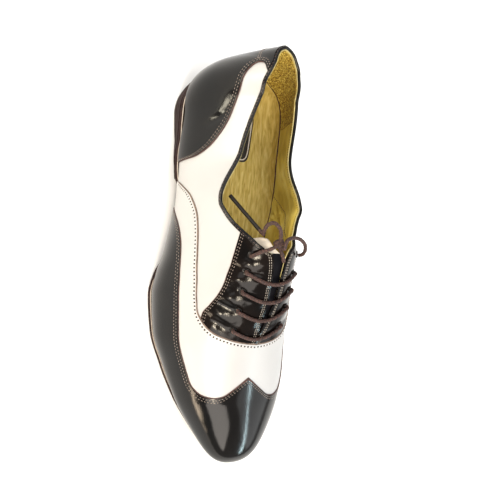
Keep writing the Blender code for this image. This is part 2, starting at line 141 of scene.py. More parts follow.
# Sides of the tongue, as distances to the medial side of the ridge line, and the drop of its top end
TONGUE_SHAPE = table(
    "x lateral medial drop",
    (128.6, -21.0, -15.0, 3.4), (129.4, -22.5, -11.5, 3.2), (131.0, -23.0, -8.5, 2.8),
    (133.5, -23.0, -5.0, 2.1), (136.5, -23.0, 1.0, 1.2), (142.0, -22.0, 9.5, 0.2),
    (155.0, -21.0, 15.0, 0.0), (175.0, -20.0, 20.0, 0.0), (206.0, -15.0, 15.0, 0.0),
)
CREAM_END = 135.5
# Where the lining stops showing along the lacing gap, the share of the height by which it shows above the
# edge up to there, and how many times that share it rises beyond
THROAT_SHOWS = 150.0
LINING_PEEK = 0.002
LINING_BEYOND = -6.0
# How far behind the gap the cut edge takes the gap's finish
THROAT_MARGIN = 3.0

# Panels: each row joins a point of the visible edge, as place and angle in degrees, to one of the hidden edge
WING_PANEL = (
    (104.5, 0.0, 104.5, 0.0), (110.5, 8.0, 112.0, 0.0), (119.3, 15.0, 122.0, 0.0),
    (127.3, 19.0, 130.0, 0.0), (137.3, 22.5, 140.0, 0.0), (148.0, 26.0, 150.0, 0.0),
    (160.0, 29.0, 162.0, 0.0), (174.0, 31.0, 175.0, 0.0), (188.0, 32.3, 189.0, 0.0),
    (203.0, 33.3, 206.0, 0.0), (215.0, 34.8, 224.0, 0.0), (224.5, 37.5, 244.0, 0.0),
    (229.3, 44.0, 266.0, 0.0), (231.3, 52.0, 300.0, 0.0), (231.8, 60.5, 336.0, 0.0),
    (230.2, 69.0, 336.0, 22.0), (226.8, 76.0, 336.0, 45.0), (222.5, 83.0, 336.0, 68.0),
    (217.5, 90.0, 336.0, 90.0),
)
VAMP_PANEL = (
    (86.6, 0.0, 86.6, 0.0), (88.6, 8.0, 92.0, 0.0), (91.3, 12.8, 98.0, 0.0), (96.7, 18.8, 107.0, 0.0),
    (102.7, 22.0, 114.0, 4.0), (109.3, 24.8, 121.0, 9.0), (118.0, 27.5, 130.0, 14.0),
    (127.3, 30.5, 140.0, 18.0), (140.7, 34.8, 155.0, 22.0), (153.3, 39.0, 170.0, 26.0),
    (166.0, 42.0, 187.0, 28.0), (174.0, 44.2, 203.0, 29.0), (178.0, 47.0, 214.0, 30.0),
    (183.3, 52.2, 226.0, 32.0), (187.3, 58.5, 235.0, 42.0), (190.0, 66.2, 238.0, 54.0),
    (192.0, 73.8, 237.0, 66.0), (193.3, 81.8, 232.0, 77.0), (194.0, 90.0, 225.0, 90.0),
)
# The counter's rows hold shares of the height up to the topline in place of angles
COUNTER_PANEL = (
    (15.2, 0.975, 0.0, 0.985), (14.0, 0.945, 0.0, 0.950), (12.6, 0.910, 0.0, 0.880),
    (11.6, 0.850, 0.0, 0.600), (12.7, 0.785, 0.0, 0.200), (14.4, 0.766, 0.0, 0.0),
    (16.8, 0.757, 5.0, 0.0), (22.2, 0.757, 14.0, 0.0), (28.1, 0.767, 22.0, 0.0), (35.1, 0.765, 30.0, 0.0),
    (42.0, 0.761, 37.0, 0.0), (50.4, 0.752, 44.5, 0.0), (58.4, 0.708, 51.5, 0.0),
    (66.4, 0.619, 59.0, 0.0), (71.3, 0.494, 65.0, 0.0), (73.3, 0.300, 69.5, 0.0),
    (73.9, 0.150, 72.0, 0.0), (74.4, 0.0, 74.4, 0.0),
)
# Lower edge of the facings, its angle in degrees
FACING_EDGE = table(
    "x angle",
    (122.7, 54.2), (130.1, 55.3), (137.1, 55.9), (144.1, 56.1), (151.0, 55.9), (157.5, 55.3), (162.5, 53.7),
    (168.5, 50.3), (174.5, 46.7), (186.0, 46.0), (197.0, 60.0),
)
# Eyelets from the top down: x on the lateral and the medial side, distance from the ridge line
EYELETS = (
    (136.0, 134.5, 18.5), (147.0, 146.5, 19.0), (159.5, 157.5, 19.0), (172.0, 169.0, 18.5),
    (185.0, 181.5, 18.0),
)
# Height of the cupped edge of the sock
SOCK_EDGE = table(
    "x z",
    (0.0, 29.0), (18.0, 30.0), (26.0, 33.5), (36.0, 36.5), (50.0, 38.0), (66.0, 39.0), (74.0, 37.3),
    (88.0, 31.0), (98.0, 26.8), (113.0, 22.8), (140.0, 16.0), (180.0, 10.5), (236.0, 12.0),
)
# Soft troughs of the leather: start place and angle, end place and angle, half width, depth
CREASES = {
    LATERAL: (
        (222.0, 41.0, 262.0, 37.0, 5.5, -0.18), (147.0, 66.0, 142.5, 55.0, 2.4, -0.85),
        (159.5, 67.0, 154.5, 54.0, 2.6, -0.90), (172.0, 67.0, 165.5, 53.0, 2.6, -0.85),
        (185.0, 68.0, 176.5, 51.0, 2.6, -0.70), (141.5, 67.0, 137.5, 57.0, 2.6, 0.50),
        (153.5, 67.0, 148.5, 57.0, 2.6, 0.55), (166.5, 66.0, 160.0, 56.0, 2.6, 0.55),
        (179.5, 66.0, 171.5, 52.0, 2.6, 0.50), (146.0, 68.0, 148.5, 82.0, 1.8, -0.55),
        (158.5, 69.0, 161.0, 82.0, 1.8, -0.55), (171.0, 69.0, 173.5, 82.0, 1.8, -0.55),
        (184.0, 70.0, 186.5, 82.0, 1.8, -0.45), (141.0, 74.0, 143.5, 81.0, 2.2, 0.40),
        (152.5, 73.0, 155.0, 83.0, 2.2, 0.45), (165.0, 72.0, 168.0, 83.0, 2.2, 0.45),
        (178.0, 73.0, 181.0, 83.0, 2.2, 0.45), (33.0, 44.0, 46.0, 38.0, 2.6, -0.45),
        (44.5, 39.0, 50.5, 30.0, 2.8, -0.90), (106.0, 44.0, 112.0, 34.0, 4.5, -0.35),
    ),
    MEDIAL: (
        (146.5, 66.0, 143.5, 55.0, 2.6, -0.55), (157.5, 67.0, 154.0, 54.0, 2.8, -0.55),
        (169.0, 67.0, 165.0, 53.0, 2.8, -0.50), (181.5, 68.0, 176.0, 51.0, 2.6, -0.45),
        (106.0, 44.0, 112.0, 34.0, 4.5, -0.35),
    ),
}
# Share of a trough's depth that is left at its ends, and the stretch of its length that the fading follows
FADE_LEAST = 0.35
FADE_STRETCH = (0.15, 0.85)
# Rough length of one degree and of the whole height up to the topline
ANGLE_MM = 0.75
SHARE_MM = 42.0

# Wrinkles of the lining on both walls of the waist: start place and angle, end place and angle, half width,
# height
WRINKLES = (
    (94.0, 10.2, 105.0, 9.8, 0.8, -0.7), (94.0, 12.7, 104.5, 11.5, 0.8, -0.8),
    (103.5, 11.5, 108.0, 14.5, 0.8, -0.8), (99.0, 14.2, 108.5, 17.5, 0.8, -1.0),
    (106.5, 9.0, 111.0, 16.3, 0.9, -0.7), (106.0, 18.0, 116.0, 28.5, 1.0, -1.0),
    (99.0, 27.0, 112.0, 32.0, 1.4, -0.5), (112.0, 36.0, 126.0, 38.0, 1.6, -0.6),
    (60.0, 26.0, 74.0, 34.0, 1.6, -0.5), (66.0, 24.0, 82.0, 30.0, 1.5, -0.5),
    (54.0, 40.0, 66.0, 46.0, 1.5, -0.45),
)
# Seam of the lining on both walls: place, share of the height up to the topline
LINING_SEAM = (
    (88.5, 0.24), (91.5, 0.30), (96.5, 0.39), (101.0, 0.47), (105.0, 0.545), (108.5, 0.60), (115.0, 0.655),
    (123.5, 0.685),
)
SEAM_POINTS = 120
# Row of stitches inside the topline: share of the height up to it, places where it starts and ends, points
RIM_ROW = 0.955
RIM_SPAN = (40.0, 130.0, 180)
# Two rows of stitches across the back of the heel: height at the back, height at their outer ends
BACK_ROWS = ((66.2, 73.6), (68.0, 75.4))
BACK_SPAN = (0.5, 11.0, 40)

# Routes of the tied lace
KNOT_CENTRE = (128.5, -5.5, 94.0)
RUN_LATERAL = (
    (136.4, -19.2, 83.6), (137.2, -20.0, 85.5), (134.9, -16.7, 89.5), (131.9, -10.4, 94.5),
    (129.4, -6.4, 94.9),
)
LOOP_REAR = (
    (127.6, -5.4, 95.2), (126.1, -6.3, 96.9), (123.4, -7.8, 99.6), (119.6, -10.8, 102.2),
    (116.9, -15.0, 102.4), (117.7, -16.5, 98.6), (120.4, -15.8, 93.6), (123.4, -13.9, 88.8),
)
LOOP_MEDIAL = (
    (130.6, -4.4, 94.2), (131.9, -2.8, 95.6), (129.3, -3.3, 98.1), (126.9, -2.4, 98.7), (125.4, 0.5, 98.2),
    (124.9, 5.5, 96.8), (126.1, 11.5, 94.2), (129.5, 16.5, 91.2), (133.3, 17.8, 88.4), (134.9, 17.2, 86.6),
    (135.2, 16.6, 84.2),
)
END_LONG = (
    (123.0, -14.1, 88.4), (122.5, -14.3, 88.0), (118.5, -16.3, 84.4), (113.6, -18.6, 80.0),
    (108.7, -21.0, 75.6), (103.8, -23.3, 71.2), (98.9, -25.7, 66.8),
)
END_SHORT = (
    (129.6, -5.0, 92.9), (131.9, -3.8, 92.6), (134.6, -2.4, 92.9), (137.4, -1.0, 92.4),
    (139.9, 0.2, 91.4),
)
# Length of the dark tip, which covers the long end's whole straight visible length
DARK_TIP_LENGTH = 31.0
# Points of the long end that are left out inside its tip
TIP_COVER = 3
BAR_LIFT = 0.5
BAR_BOW = 7.0
BAR_POINTS = 14
# How far the ends of a bar lie behind its eyelets and below the facings
BAR_BACK = 0.4
BAR_SINK = 1.0
# Wraps of the knot: lean, shift along the knot, half width
KNOT_WRAPS = ((0.5, -0.9, 2.3), (-0.35, 0.9, 2.2))
KNOT_HALF_HEIGHT = 1.75
KNOT_TURN = 38.0
KNOT_POINTS = 64
# Skin of the lace, and the points of its route before it is divided evenly
LACE_PITCH = 0.28
ROUTE_POINTS = 400
LEAST_POINTS = 6
BRAID = 0.1
BRAID_TURN = 2.2
DARK_TIP_SWELL = 1.06

# Stitches: piece, pitch, size of one along, across and above its row, finish
STITCHES = (
    ("stitching_brown", 2.2, (1.15, 0.46, 0.36), "thread"),
    ("stitching_gap", 1.8, (1.3, 0.55, 0.4), "gap_thread"),
    ("stitching_vamp", 2.5, (1.3, 0.45, 0.36), "pale_thread"),
    # Needle holes: dark grains along the vamp's row, painted shade of the holes
    ("needle_holes", 2.5, (1.35, 1.2, 0.4), "hole"),
    ("stitching_back", 1.5, (1.3, 0.5, 0.36), "thread"),
    ("stitching_lining", 1.9, (1.3, 0.55, 0.5), "raw"),
    ("stitching_rim", 1.7, (0.9, 0.5, 0.4), "raw"),
    ("stitching_binding", 2.2, (1.2, 0.34, 0.3), "dark_thread"),
)
# Distances of the rows from the edges of the panels, and where the rows of the gap begin
PANEL_INSETS = (1.9, 3.7)
FACING_INSETS = (1.5, 2.9)
GAP_INSETS = (1.6, 2.9)
GAP_START = 134.0
VAMP_INSET = 2.6
# Points at the lower end of the vamp's row without needle holes
HOLES_START = 4
# Lift of the thread above the counter and above the lining
BACK_LIFT = 0.02
LINING_LIFT = 0.1

# Section of the binding over the top edge, and its row of stitches: out, up
BINDING_PROFILE = np.array([
    (-0.2, -1.75), (0.45, -1.72), (0.62, -1.5), (0.66, -1.05), (0.55, -0.75), (0.42, -0.62), (0.6, -0.48),
    (0.68, -0.1), (0.52, 0.35), (0.1, 0.68), (-0.45, 0.76), (-0.95, 0.55), (-1.25, 0.1), (-1.3, -0.7),
    (-0.7, -1.2),
])
BINDING_ROW = (0.6, 0.62)
BINDING_END = 132.6

# Edge of the outsole from its top to its tread: outset, share of the thickness
SOLE_EDGE = (
    (-0.4, 0.0), (0.0, 0.06), (0.15, 0.3), (0.15, 0.6), (-0.1, 0.85), (-0.5, 0.96), (-1.0, 1.0),
)
# The rand is a thin cord along the feather edge; its pale colour is a painted highlight of the rolled edge
# between upper and sole
RAND_INSET = 0.25
RAND_DROP = 0.05
RAND_RADIUS = 0.3
# Levels of the heel from its top down: share of the height, groove between the lifts
HEEL_LEVELS = (
    (0.0, -0.1), (0.03, 0.0), (0.26, 0.0), (0.285, -0.28), (0.31, 0.0), (0.54, 0.0), (0.565, -0.28),
    (0.59, 0.0), (0.76, 0.0), (0.78, -0.4), (0.80, -0.1), (0.96, -0.1), (1.0, -0.6),
)
LIFT_WALLS = 9
TOP_PIECE_WALLS = 3
TAPER_CURVE = 0.9

# Faces of the sock: distance in from the wall of the last, height above the feather edge
SOCK_TOP = (2.8, INSOLE)
SOCK_UNDER = (2.05, 0.3)
# Least height of the sock's edge and height of its corner above its floor, flat share of the floor, and the
# row of the wall where the bend ends
SOCK_RISE = 2.5
SOCK_CORNER = 1.0
SOCK_FLAT = 0.45
SOCK_BEND_ROW = 5
# Least angle from the corner of the sock up to its edge
SOCK_LEAST = 0.01
# Label on the sock: rings of its edge as inset and lift, and shares of the rings inside
LABEL_CENTRE = np.array([49.0, 1.0])
LABEL_HALF = np.array([19.5, 15.0])
LABEL_TURN = -6.5
LABEL_CORNER = 0.3
LABEL_POINTS = 72
LABEL_TOP = 0.28
LABEL_EDGE = ((0.0, -0.1), (0.0, 0.2), (0.3, LABEL_TOP))
LABEL_RINGS = (0.66, 0.33, 0.01)
BORDER_INSET = 1.5
BORDER_LIFT = 0.32
BORDER_RADIUS = 0.42
# Depth of the tongue's two faces below the surface of the last
TONGUE_TOP = 2.3
TONGUE_UNDER = 3.9
# Lip of an eyelet, and the dark disc inside it that is painted shade of the hole
LIP_RADIUS = 1.85
LIP_TUBE = 0.5
LIP_LIFT = 0.05
LIP_POINTS = 28
HOLE_RINGS = (1.6, 0.8, 0.02)
HOLE_LIFT = 0.1

# Steps of the grids from zero: end of each part and count of its points
UPPER_STEPS = ((HEEL_PIVOT, 45), (TOE_PIVOT, 140), (TOE_PIVOT + TOE_SPAN, 40))
OUTLINE_STEPS = ((HEEL_PIVOT, 40), (TOE_PIVOT, 110), (TOE_PIVOT + TOE_SPAN, 40))
TOPLINE_STEPS = ((HEEL_PIVOT, 60), (BINDING_END, 130))
GRIP_STEPS = ((HEEL_PIVOT, 40), (46.5, 8))
BASE_SHARES = ((0.06, 6), (1, 38))
LINING_SHARES = ((0.06, 6), (0.4, 14), (0.85, 46), (1, 7))
SOCK_WALL = ((0.97, 10), (1, 2))
# Closer steps of the upper where topline and gap meet, and rows of the heel grip: start, end, count
CORNER_STEPS = (104.0, 140.0, 60)
GRIP_SHARES = (0.97, 0.12, 30)
# Shares of the facings from their lower edge, and counts along and across the panels
FACING_SHARES = np.concatenate([[0, 0.006, 0.014, 0.026, 0.045], np.linspace(0.07, 1, 32)])
FACING_COUNT = 110
VAMP_GRID = (190, 44)
WING_GRID = (210, 52)
COUNTER_GRID = (210, 64)
TONGUE_GRID = (70, 40)
# Points across the faces of sole and heel, and across the floor and the bend of the sock
CAP_POINTS = 9
SOCK_FLOOR_POINTS = 10
SOCK_BEND_POINTS = 15

# Finishes: key, material, roughness, other shader values, noise of the colour, stops of the colour,
# noise scale and range of the roughness, bumps as texture, depth in metres and the texture's values.
# A noise's values are its scale, detail, stretch and distortion
FINISHES = (
    ("white", "white_leather", 0.4, {"Coat Weight": 0.15, "Coat Roughness": 0.25}, (22.0, 4.0),
     ((0.3, (0.362, 0.356, 0.352)), (0.7, (0.388, 0.381, 0.377))), (160.0, 0.36, 0.48),
     (("cells", 0.00006, 1500.0), ("noise", 0.0003, 60.0, 2.0))),
    ("patent", "black_patent", 0.2, {"IOR": 1.3}, (35.0, 4.0),
     ((0.35, (0.002, 0.0019, 0.0019)), (0.75, (0.006, 0.005, 0.0045))), (90.0, 0.09, 0.16),
     (("noise", 0.00006, 60.0, 2.0), ("cells", 0.000012, 1300.0))),
    ("facing", "black_patent_facing", 0.2, {"IOR": 1.23}, (60.0, 4.0),
     ((0.35, (0.0016, 0.0013, 0.0012)), (0.75, (0.008, 0.0052, 0.004))), (110.0, 0.10, 0.19),
     (("noise", 0.0007, 120.0, 0.6), ("cells", 0.000015, 1300.0))),
    ("tongue", "black_tongue", 0.7, {"Specular IOR Level": 0.06}, (120.0, 4.0),
     ((0.35, (0.002, 0.002, 0.003)), (0.75, (0.007, 0.006, 0.008))), None,
     (("cells", 0.0001, 1100.0),)),
    ("raw", "raw_leather_edge", 0.75, {}, (420.0, 4.0),
     ((0.3, (0.022, 0.009, 0.007)), (0.7, (0.080, 0.031, 0.023))), None, (("noise", 0.0001, 1500.0),)),
    # Raw edge of the white panels, dark brown: partly the edge's own colour, partly painted shade of the line
    # along the vamp's seam
    ("edge_and_seam_shade", "raw_edge_and_seam_shade", 0.7, {}, (420.0, 4.0),
     ((0.3, (0.06, 0.038, 0.028)), (0.7, (0.17, 0.115, 0.085))), None, (("noise", 0.0001, 1500.0),)),
    ("lining", "tan_lining", 0.6, {"Specular IOR Level": 0.25}, (60.0, 5.0, (0.6, 1.0, 1.6), 0.6),
     ((0.3, (0.50, 0.365, 0.066)), (0.52, (0.70, 0.545, 0.122)), (0.75, (0.84, 0.715, 0.235))),
     (120.0, 0.5, 0.7),
     (("noise", 0.0012, 130.0, 4.0, (0.45, 1.0, 1.6), 1.5), ("cells", 0.00008, 900.0))),
    ("lining_edge", "lining_edge", 0.6, {}, (300.0, 3.0),
     ((0.3, (0.40, 0.32, 0.11)), (0.7, (0.62, 0.53, 0.25))), None, ()),
    ("sock", "tan_sock", 0.6, {"Specular IOR Level": 0.2}, (620.0, 5.0, (0.14, 1.0, 0.5), 0.9),
     ((0.3, (0.38, 0.275, 0.062)), (0.5, (0.57, 0.43, 0.12)), (0.7, (0.71, 0.585, 0.22))),
     (120.0, 0.55, 0.75),
     (("noise", 0.0011, 170.0, 4.0, (0.28, 1.6, 1.0), 2.5), ("cells", 0.00006, 1000.0))),
    ("suede", "heel_grip_suede", 0.85, {}, (1050.0, 5.0),
     ((0.38, (0.09, 0.044, 0.003)), (0.5, (0.36, 0.225, 0.018)), (0.64, (0.84, 0.67, 0.15))), None,
     (("noise", 0.0005, 800.0, 4.0),)),
    ("sole", "brown_sole_edge", 0.65, {"Specular IOR Level": 0.06}, (160.0, 4.0, (0.5, 0.5, 3.0)),
     ((0.3, (0.010, 0.005, 0.0045)), (0.7, (0.026, 0.012, 0.0105))), (200.0, 0.55, 0.75),
     (("noise", 0.00015, 500.0, 3.0, (0.4, 0.4, 3.0)),)),
    ("tread", "suede_tread", 0.9, {"Sheen Weight": 0.2}, (70.0, 6.0),
     ((0.3, (0.14, 0.095, 0.06)), (0.7, (0.26, 0.185, 0.125))), None, (("noise", 0.0004, 700.0, 4.0),)),
    ("lift", "heel_top_piece", 0.7, {}, (200.0, 3.0),
     ((0.3, (0.010, 0.008, 0.008)), (0.7, (0.026, 0.021, 0.020))), None, (("noise", 0.0001, 900.0),)),
    ("lace", "brown_lace", 0.75, {}, (1300.0, 4.0),
     ((0.32, (0.006, 0.002, 0.0015)), (0.5, (0.026, 0.008, 0.005)), (0.68, (0.10, 0.042, 0.028))), None,
     (("noise", 0.00025, 2200.0, 3.0),)),
    # Dark tip over the long end's whole straight visible length
    ("dark_tip", "lace_tip", 0.5, {"Specular IOR Level": 0.15}, (260.0, 3.0),
     ((0.3, (0.005, 0.004, 0.004)), (0.7, (0.014, 0.010, 0.008))), None, (("noise", 0.00008, 600.0),)),
    ("thread", "brown_thread", 0.6, {}, (1600.0, 2.0),
     ((0.3, (0.08, 0.055, 0.043)), (0.7, (0.31, 0.245, 0.20))), None, ()),
    ("dark_thread", "dark_thread", 0.6, {}, (1600.0, 2.0),
     ((0.3, (0.04, 0.022, 0.018)), (0.7, (0.13, 0.075, 0.06))), None, ()),
    ("gap_thread", "gap_thread", 0.6, {}, (1600.0, 2.0),
     ((0.3, (0.10, 0.085, 0.07)), (0.7, (0.36, 0.31, 0.26))), None, ()),
    ("pale_thread", "pale_thread", 0.6, {}, (1600.0, 2.0),
     ((0.3, (0.62, 0.56, 0.50)), (0.7, (0.86, 0.82, 0.76))), None, ()),
    # Dark colour of the needle holes and of the eyelet discs: painted shade inside the holes
    ("hole", "painted_hole_shade", 0.9, {}, (1600.0, 2.0),
     ((0.3, (0.008, 0.006, 0.005)), (0.7, (0.035, 0.022, 0.018))), None, ()),
    ("cream", "cream_tongue_lining", 0.5, {}, (90.0, 5.0),
     ((0.3, (0.42, 0.355, 0.28)), (0.7, (0.62, 0.55, 0.46))), None, (("cells", 0.00008, 900.0),)),
    # Pale colour of the rand: painted highlight along the feather edge
    ("rand", "rand_painted_highlight", 0.5, {}, (300.0, 4.0),
     ((0.3, (0.30, 0.24, 0.19)), (0.7, (0.50, 0.43, 0.36))), None, ()),
    ("label", "black_label", 0.55, {}, (300.0, 3.0),
     ((0.3, (0.006, 0.006, 0.006)), (0.7, (0.018, 0.016, 0.015))), None, (("cells", 0.00008, 1800.0),)),
)

# Lights in metres in the row frame: name, place, size, power, aim, roll in degrees, colour
LIGHTS = (
    ("top_softbox", (-0.05, -0.28, 1.6), (1.7, 1.3), 19.5, (0.0, 0.0, 0.0), 0.0, (1.0, 0.98, 0.96)),
    ("back_softbox", (-1.35, -0.55, 0.95), (1.2, 0.8), 13.0, (-0.1, 0.0, 0.0), 0.0, (1.0, 0.98, 0.96)),
    ("medial_softbox", (0.7, 1.7, 1.15), (2.6, 1.8), 29.0, (0.05, 0.0, 0.05), 0.0, (0.96, 0.99, 1.0)),
    ("front_window", (1.33, -0.40, 0.82), (0.92, 0.68), 16.0, (0.08, 0.0, 0.05), 0.0, (1.0, 0.92, 0.84)),
    ("front_lamp", (1.04, -0.60, 1.02), (0.17, 0.21), 11.5, (0.02, 0.0, 0.07), 0.0, (1.0, 0.86, 0.66)),
    ("low_lamp", (1.23, -0.98, 0.065), (0.42, 0.12), 4.2, (0.1, 0.0, 0.03), 0.0, (1.0, 0.80, 0.58)),
    ("medial_strip", (1.2, 0.85, 0.64), (0.02, 0.95), 5.2, (0.1, 0.0, 0.05), 20.0, (0.72, 0.94, 1.0)),
    ("lateral_lamp", (-0.52, -1.31, 0.24), (0.7, 0.25), 16.0, (-0.1, 0.0, 0.05), 0.0, (1.0, 0.92, 0.72)),
)
WORLD_LIGHT = 0.46
FLOOR_REACH = 3.0
FLOOR_COLOUR = (0.85, 0.85, 0.85, 1.0)
FLOOR_ROUGHNESS = 0.8
CLIP_START = 0.01

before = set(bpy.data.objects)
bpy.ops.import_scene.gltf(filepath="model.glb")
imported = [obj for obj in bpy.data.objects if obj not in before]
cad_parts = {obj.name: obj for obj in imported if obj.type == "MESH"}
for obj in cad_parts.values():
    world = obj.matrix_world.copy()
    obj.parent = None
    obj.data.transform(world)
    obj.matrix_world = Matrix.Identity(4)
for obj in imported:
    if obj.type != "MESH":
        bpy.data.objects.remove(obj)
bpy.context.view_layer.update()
HEEL_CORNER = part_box("heel")[1]
KNOT_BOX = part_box("lace_knot")
SHIFT = np.array([
    HEEL_CORNER.x / MM - HEEL_BREAST,
    (KNOT_BOX[0].y + KNOT_BOX[1].y) / 2 / MM - KNOT_CENTRE[1],
    0.0,
])


def unit(vectors):
    """Vectors brought to length one."""
    return vectors / np.linalg.norm(vectors, axis=-1, keepdims=True)


def hermite(places, values, slopes, query):
    """Smooth curve through values with given slopes."""
    k = np.clip(np.searchsorted(places, query, side="right") - 1, 0, len(places) - 2)
    width = places[k + 1] - places[k]
    s = (query - places[k]) / width
    return ((1 + 2 * s) * (1 - s) ** 2 * values[k] + s * (1 - s) ** 2 * width * slopes[k]
            + s * s * (3 - 2 * s) * values[k + 1] + s * s * (s - 1) * width * slopes[k + 1])


def monotone(places, values, query):
    """Smooth curve through a table's rows that never overshoots them."""
    width = np.diff(places)
    rise = np.diff(values) / width
    tangent = np.zeros(len(places))
    tangent[0] = rise[0]
    tangent[-1] = rise[-1]
    for i in range(1, len(places) - 1):
        if rise[i - 1] * rise[i] > 0:
            before = 2 * width[i] + width[i - 1]
            after = width[i] + 2 * width[i - 1]
            tangent[i] = (before + after) / (before / rise[i - 1] + after / rise[i])
    return hermite(places, values, tangent, np.clip(np.asarray(query, float), places[0], places[-1]))


def catmull(places, values, query):
    """Smooth curve through every point of a route."""
    return hermite(places, values, np.gradient(values, places), query)


def lengths(points):
    """Distance walked along a line up to each of its points."""
    return np.concatenate([[0], np.cumsum(np.linalg.norm(np.diff(points, axis=0), axis=1))])


def sample(walk, steps, line):
    """Rows of a line at distances along it."""
    return np.stack([np.interp(walk, steps, column) for column in line.T], -1)


def even_steps(parts):
    """Even steps from zero through parts in a row, each given by its end and its count of points."""
    start = 0
    walk = [[start]]
    for end, count in parts:
        walk.append(np.linspace(start, end, count)[1:])
        start = end
    return np.concatenate(walk)


def circle(count):
    """Even angles round a full turn."""
    return np.linspace(0, 2 * np.pi, count, endpoint=False)


def smooth_line(rows, count, second=ANGLE_MM):
    """Points along a smooth line through rows, evenly spread in space or by their first two columns."""
    rows = np.asarray(rows, float)
    steps = lengths(rows if rows.shape[1] == 3 else rows[:, :2] * (1.0, second))
    walk = np.linspace(0, steps[-1], count)
    return np.stack([catmull(steps, column, walk) for column in rows.T], -1)


def read(columns, name, x):
    """Smooth curve through one column of a table."""
    return monotone(columns["x"], columns[name], x)


def last(name, x):
    return read(LAST, name, x)


def last_slope(name, x):
    return last(name, x) - last(name, x - 1.0)


def side_name(side):
    return "medial" if side == MEDIAL else "lateral"


def fullness(side, place):
    """Roundness of a section, less where the medial quarter leans in."""
    loss = read(MEDIAL_LEAN, "loss", place) if side == MEDIAL else 0.0
    return last("full", place) - loss


def station(place):
    """Station of a place: 0 to 1 round the heel, to 2 along the side, to 3 round the toe."""
    place = np.asarray(place, float)
    heel = np.clip(place / HEEL_PIVOT, 0, 1)
    along = np.clip((place - HEEL_PIVOT) / (TOE_PIVOT - HEEL_PIVOT), 0, 1)
    return heel + along + np.clip((place - TOE_PIVOT) / TOE_SPAN, 0, 1)


def table_place(t):
    return HEEL_PIVOT * np.clip(t, 0, 1) + (TOE_PIVOT - HEEL_PIVOT) * np.clip(t - 1, 0, 1)


def plan(side, t):
    """Spine point of a station and the reach from it to the widest outline."""
    heel = np.clip(t, 0, 1) * RIGHT_ANGLE
    toe = (1 - np.clip(t - 2, 0, 1)) * RIGHT_ANGLE
    spine = HEEL_PIVOT + (TOE_PIVOT - HEEL_PIVOT) * np.clip(t - 1, 0, 1)
    half = last(side_name(side), spine)
    toe_reach = (LENGTH - TOE_PIVOT) * np.maximum(np.cos(toe), 0) ** (2 / TOE_FULL)
    toe_half = (half * np.sin(toe) ** (2 / TOE_FULL)
                + last_slope(side_name(side), TOE_PIVOT) * toe_reach * np.sin(toe) ** 2)
    heel_reach = -HEEL_PIVOT * np.maximum(np.cos(heel), 0) ** (2 / HEEL_FULL)
    heel_half = half * np.sin(heel) ** (2 / HEEL_FULL)
    along = np.where(t < 1, heel_reach, np.where(t > 2, toe_reach, 0.0))
    across = np.where(t < 1, heel_half, np.where(t > 2, toe_half, half))
    return spine, along, across


def surface(side, t, angle):
    """Point on the outside of the last: angle is 0 at the feather edge and a right angle on the ridge."""
    t, angle = np.broadcast_arrays(np.asarray(t, float), np.asarray(angle, float))
    spine, along, across = plan(side, t)
    place = table_place(t)
    seat = last("seat", spine + along)
    up = np.sin(angle) ** (2 / fullness(side, place))
    out = np.maximum(np.cos(angle), 0) ** (2 / fullness(side, place))
    out = out * (1 - last("tuck", place) * np.clip(1 - up / TUCK_HEIGHT, 0, 1) ** 2)
    bend = np.where(t > 2, last_slope("centre", TOE_PIVOT) * along, 0.0)
    tilt = np.where(t > 2, last_slope("cone", TOE_PIVOT) * along, 0.0)
    x = spine + along * out
    y = last("centre", spine) + (side * across + bend) * out + last("lean", place) * up
    z = seat + (last("cone", place) - seat) * up + tilt * out * up ** 2
    return np.stack([x, y, z], -1)


def outward(side, t, angle):
    """Unit normal of the last's surface."""
    step = 0.002
    t, angle = np.broadcast_arrays(np.asarray(t, float), np.asarray(angle, float))
    t = np.clip(t, step, 3 - step)
    angle = np.clip(angle, 2 * step, RIGHT_ANGLE - 3 * step)
    along = surface(side, t + step, angle) - surface(side, t - step, angle)
    up = surface(side, t, angle + step) - surface(side, t, angle - step)
    return unit(np.cross(along, up) * -side)


def skin(side, place, angle):
    """Point and unit normal of the last's surface at a place."""
    t = station(place)
    return surface(side, t, angle), outward(side, t, angle)


def angle_at_height(side, place, z):
    t = station(place)
    spine, along, across = plan(side, t)
    x = table_place(t)
    seat = last("seat", spine + along)
    up = np.clip((z - seat) / (last("cone", x) - seat), 0, 1)
    return np.arcsin(up ** (fullness(side, x) / 2))


def angle_at_offset(side, place, offset):
    t = station(place)
    spine, along, across = plan(side, t)
    share = np.clip(offset / np.maximum(across, offset + MM), 0, 1)
    return np.arccos(share ** (fullness(side, table_place(t)) / 2))


def level(side, place, angle):
    """Angle on a side that lies as high as an angle of the plain section."""
    x = table_place(station(place))
    return np.arcsin(np.clip(np.sin(angle) ** (fullness(side, x) / last("full", x)), 0, 1))


def edge_angle(side, place):
    """Where the upper ends: at the topline, at the lacing gap or on the closed ridge."""
    x = table_place(station(place))
    under_topline = angle_at_height(side, place, read(TOPLINE, side_name(side), x))
    beside_gap = angle_at_offset(side, place, read(THROAT, side_name(side), x))
    angle = np.where(x < TOPLINE["x"][-1], under_topline, RIGHT_ANGLE)
    angle = np.where(x > THROAT["x"][0], np.minimum(angle, beside_gap), angle)
    return np.where(x >= THROAT["x"][-1], RIGHT_ANGLE, angle)


def trough(place, angle, start_place, start_angle, end_place, end_angle, half_width, depth):
    """Height of a soft trough or ridge along a short line, fading out at its ends."""
    here = np.stack([place, np.degrees(angle) * ANGLE_MM], -1)
    start = np.array([start_place, start_angle * ANGLE_MM])
    run = np.array([end_place, end_angle * ANGLE_MM]) - start
    share = np.clip((here - start) @ run / (run @ run), 0, 1)
    away = np.linalg.norm(here - start - share[..., None] * run, axis=-1)
    fade = FADE_LEAST + (1 - FADE_LEAST) * np.sin(np.pi * np.clip(share, *FADE_STRETCH))
    return depth * np.exp(-(away / half_width) ** 2) * fade


def troughs(place, angle, rows):
    """Height of all the troughs and ridges of a table."""
    height = np.zeros(np.shape(place))
    for row in rows:
        height += trough(place, angle, *row)
    return height


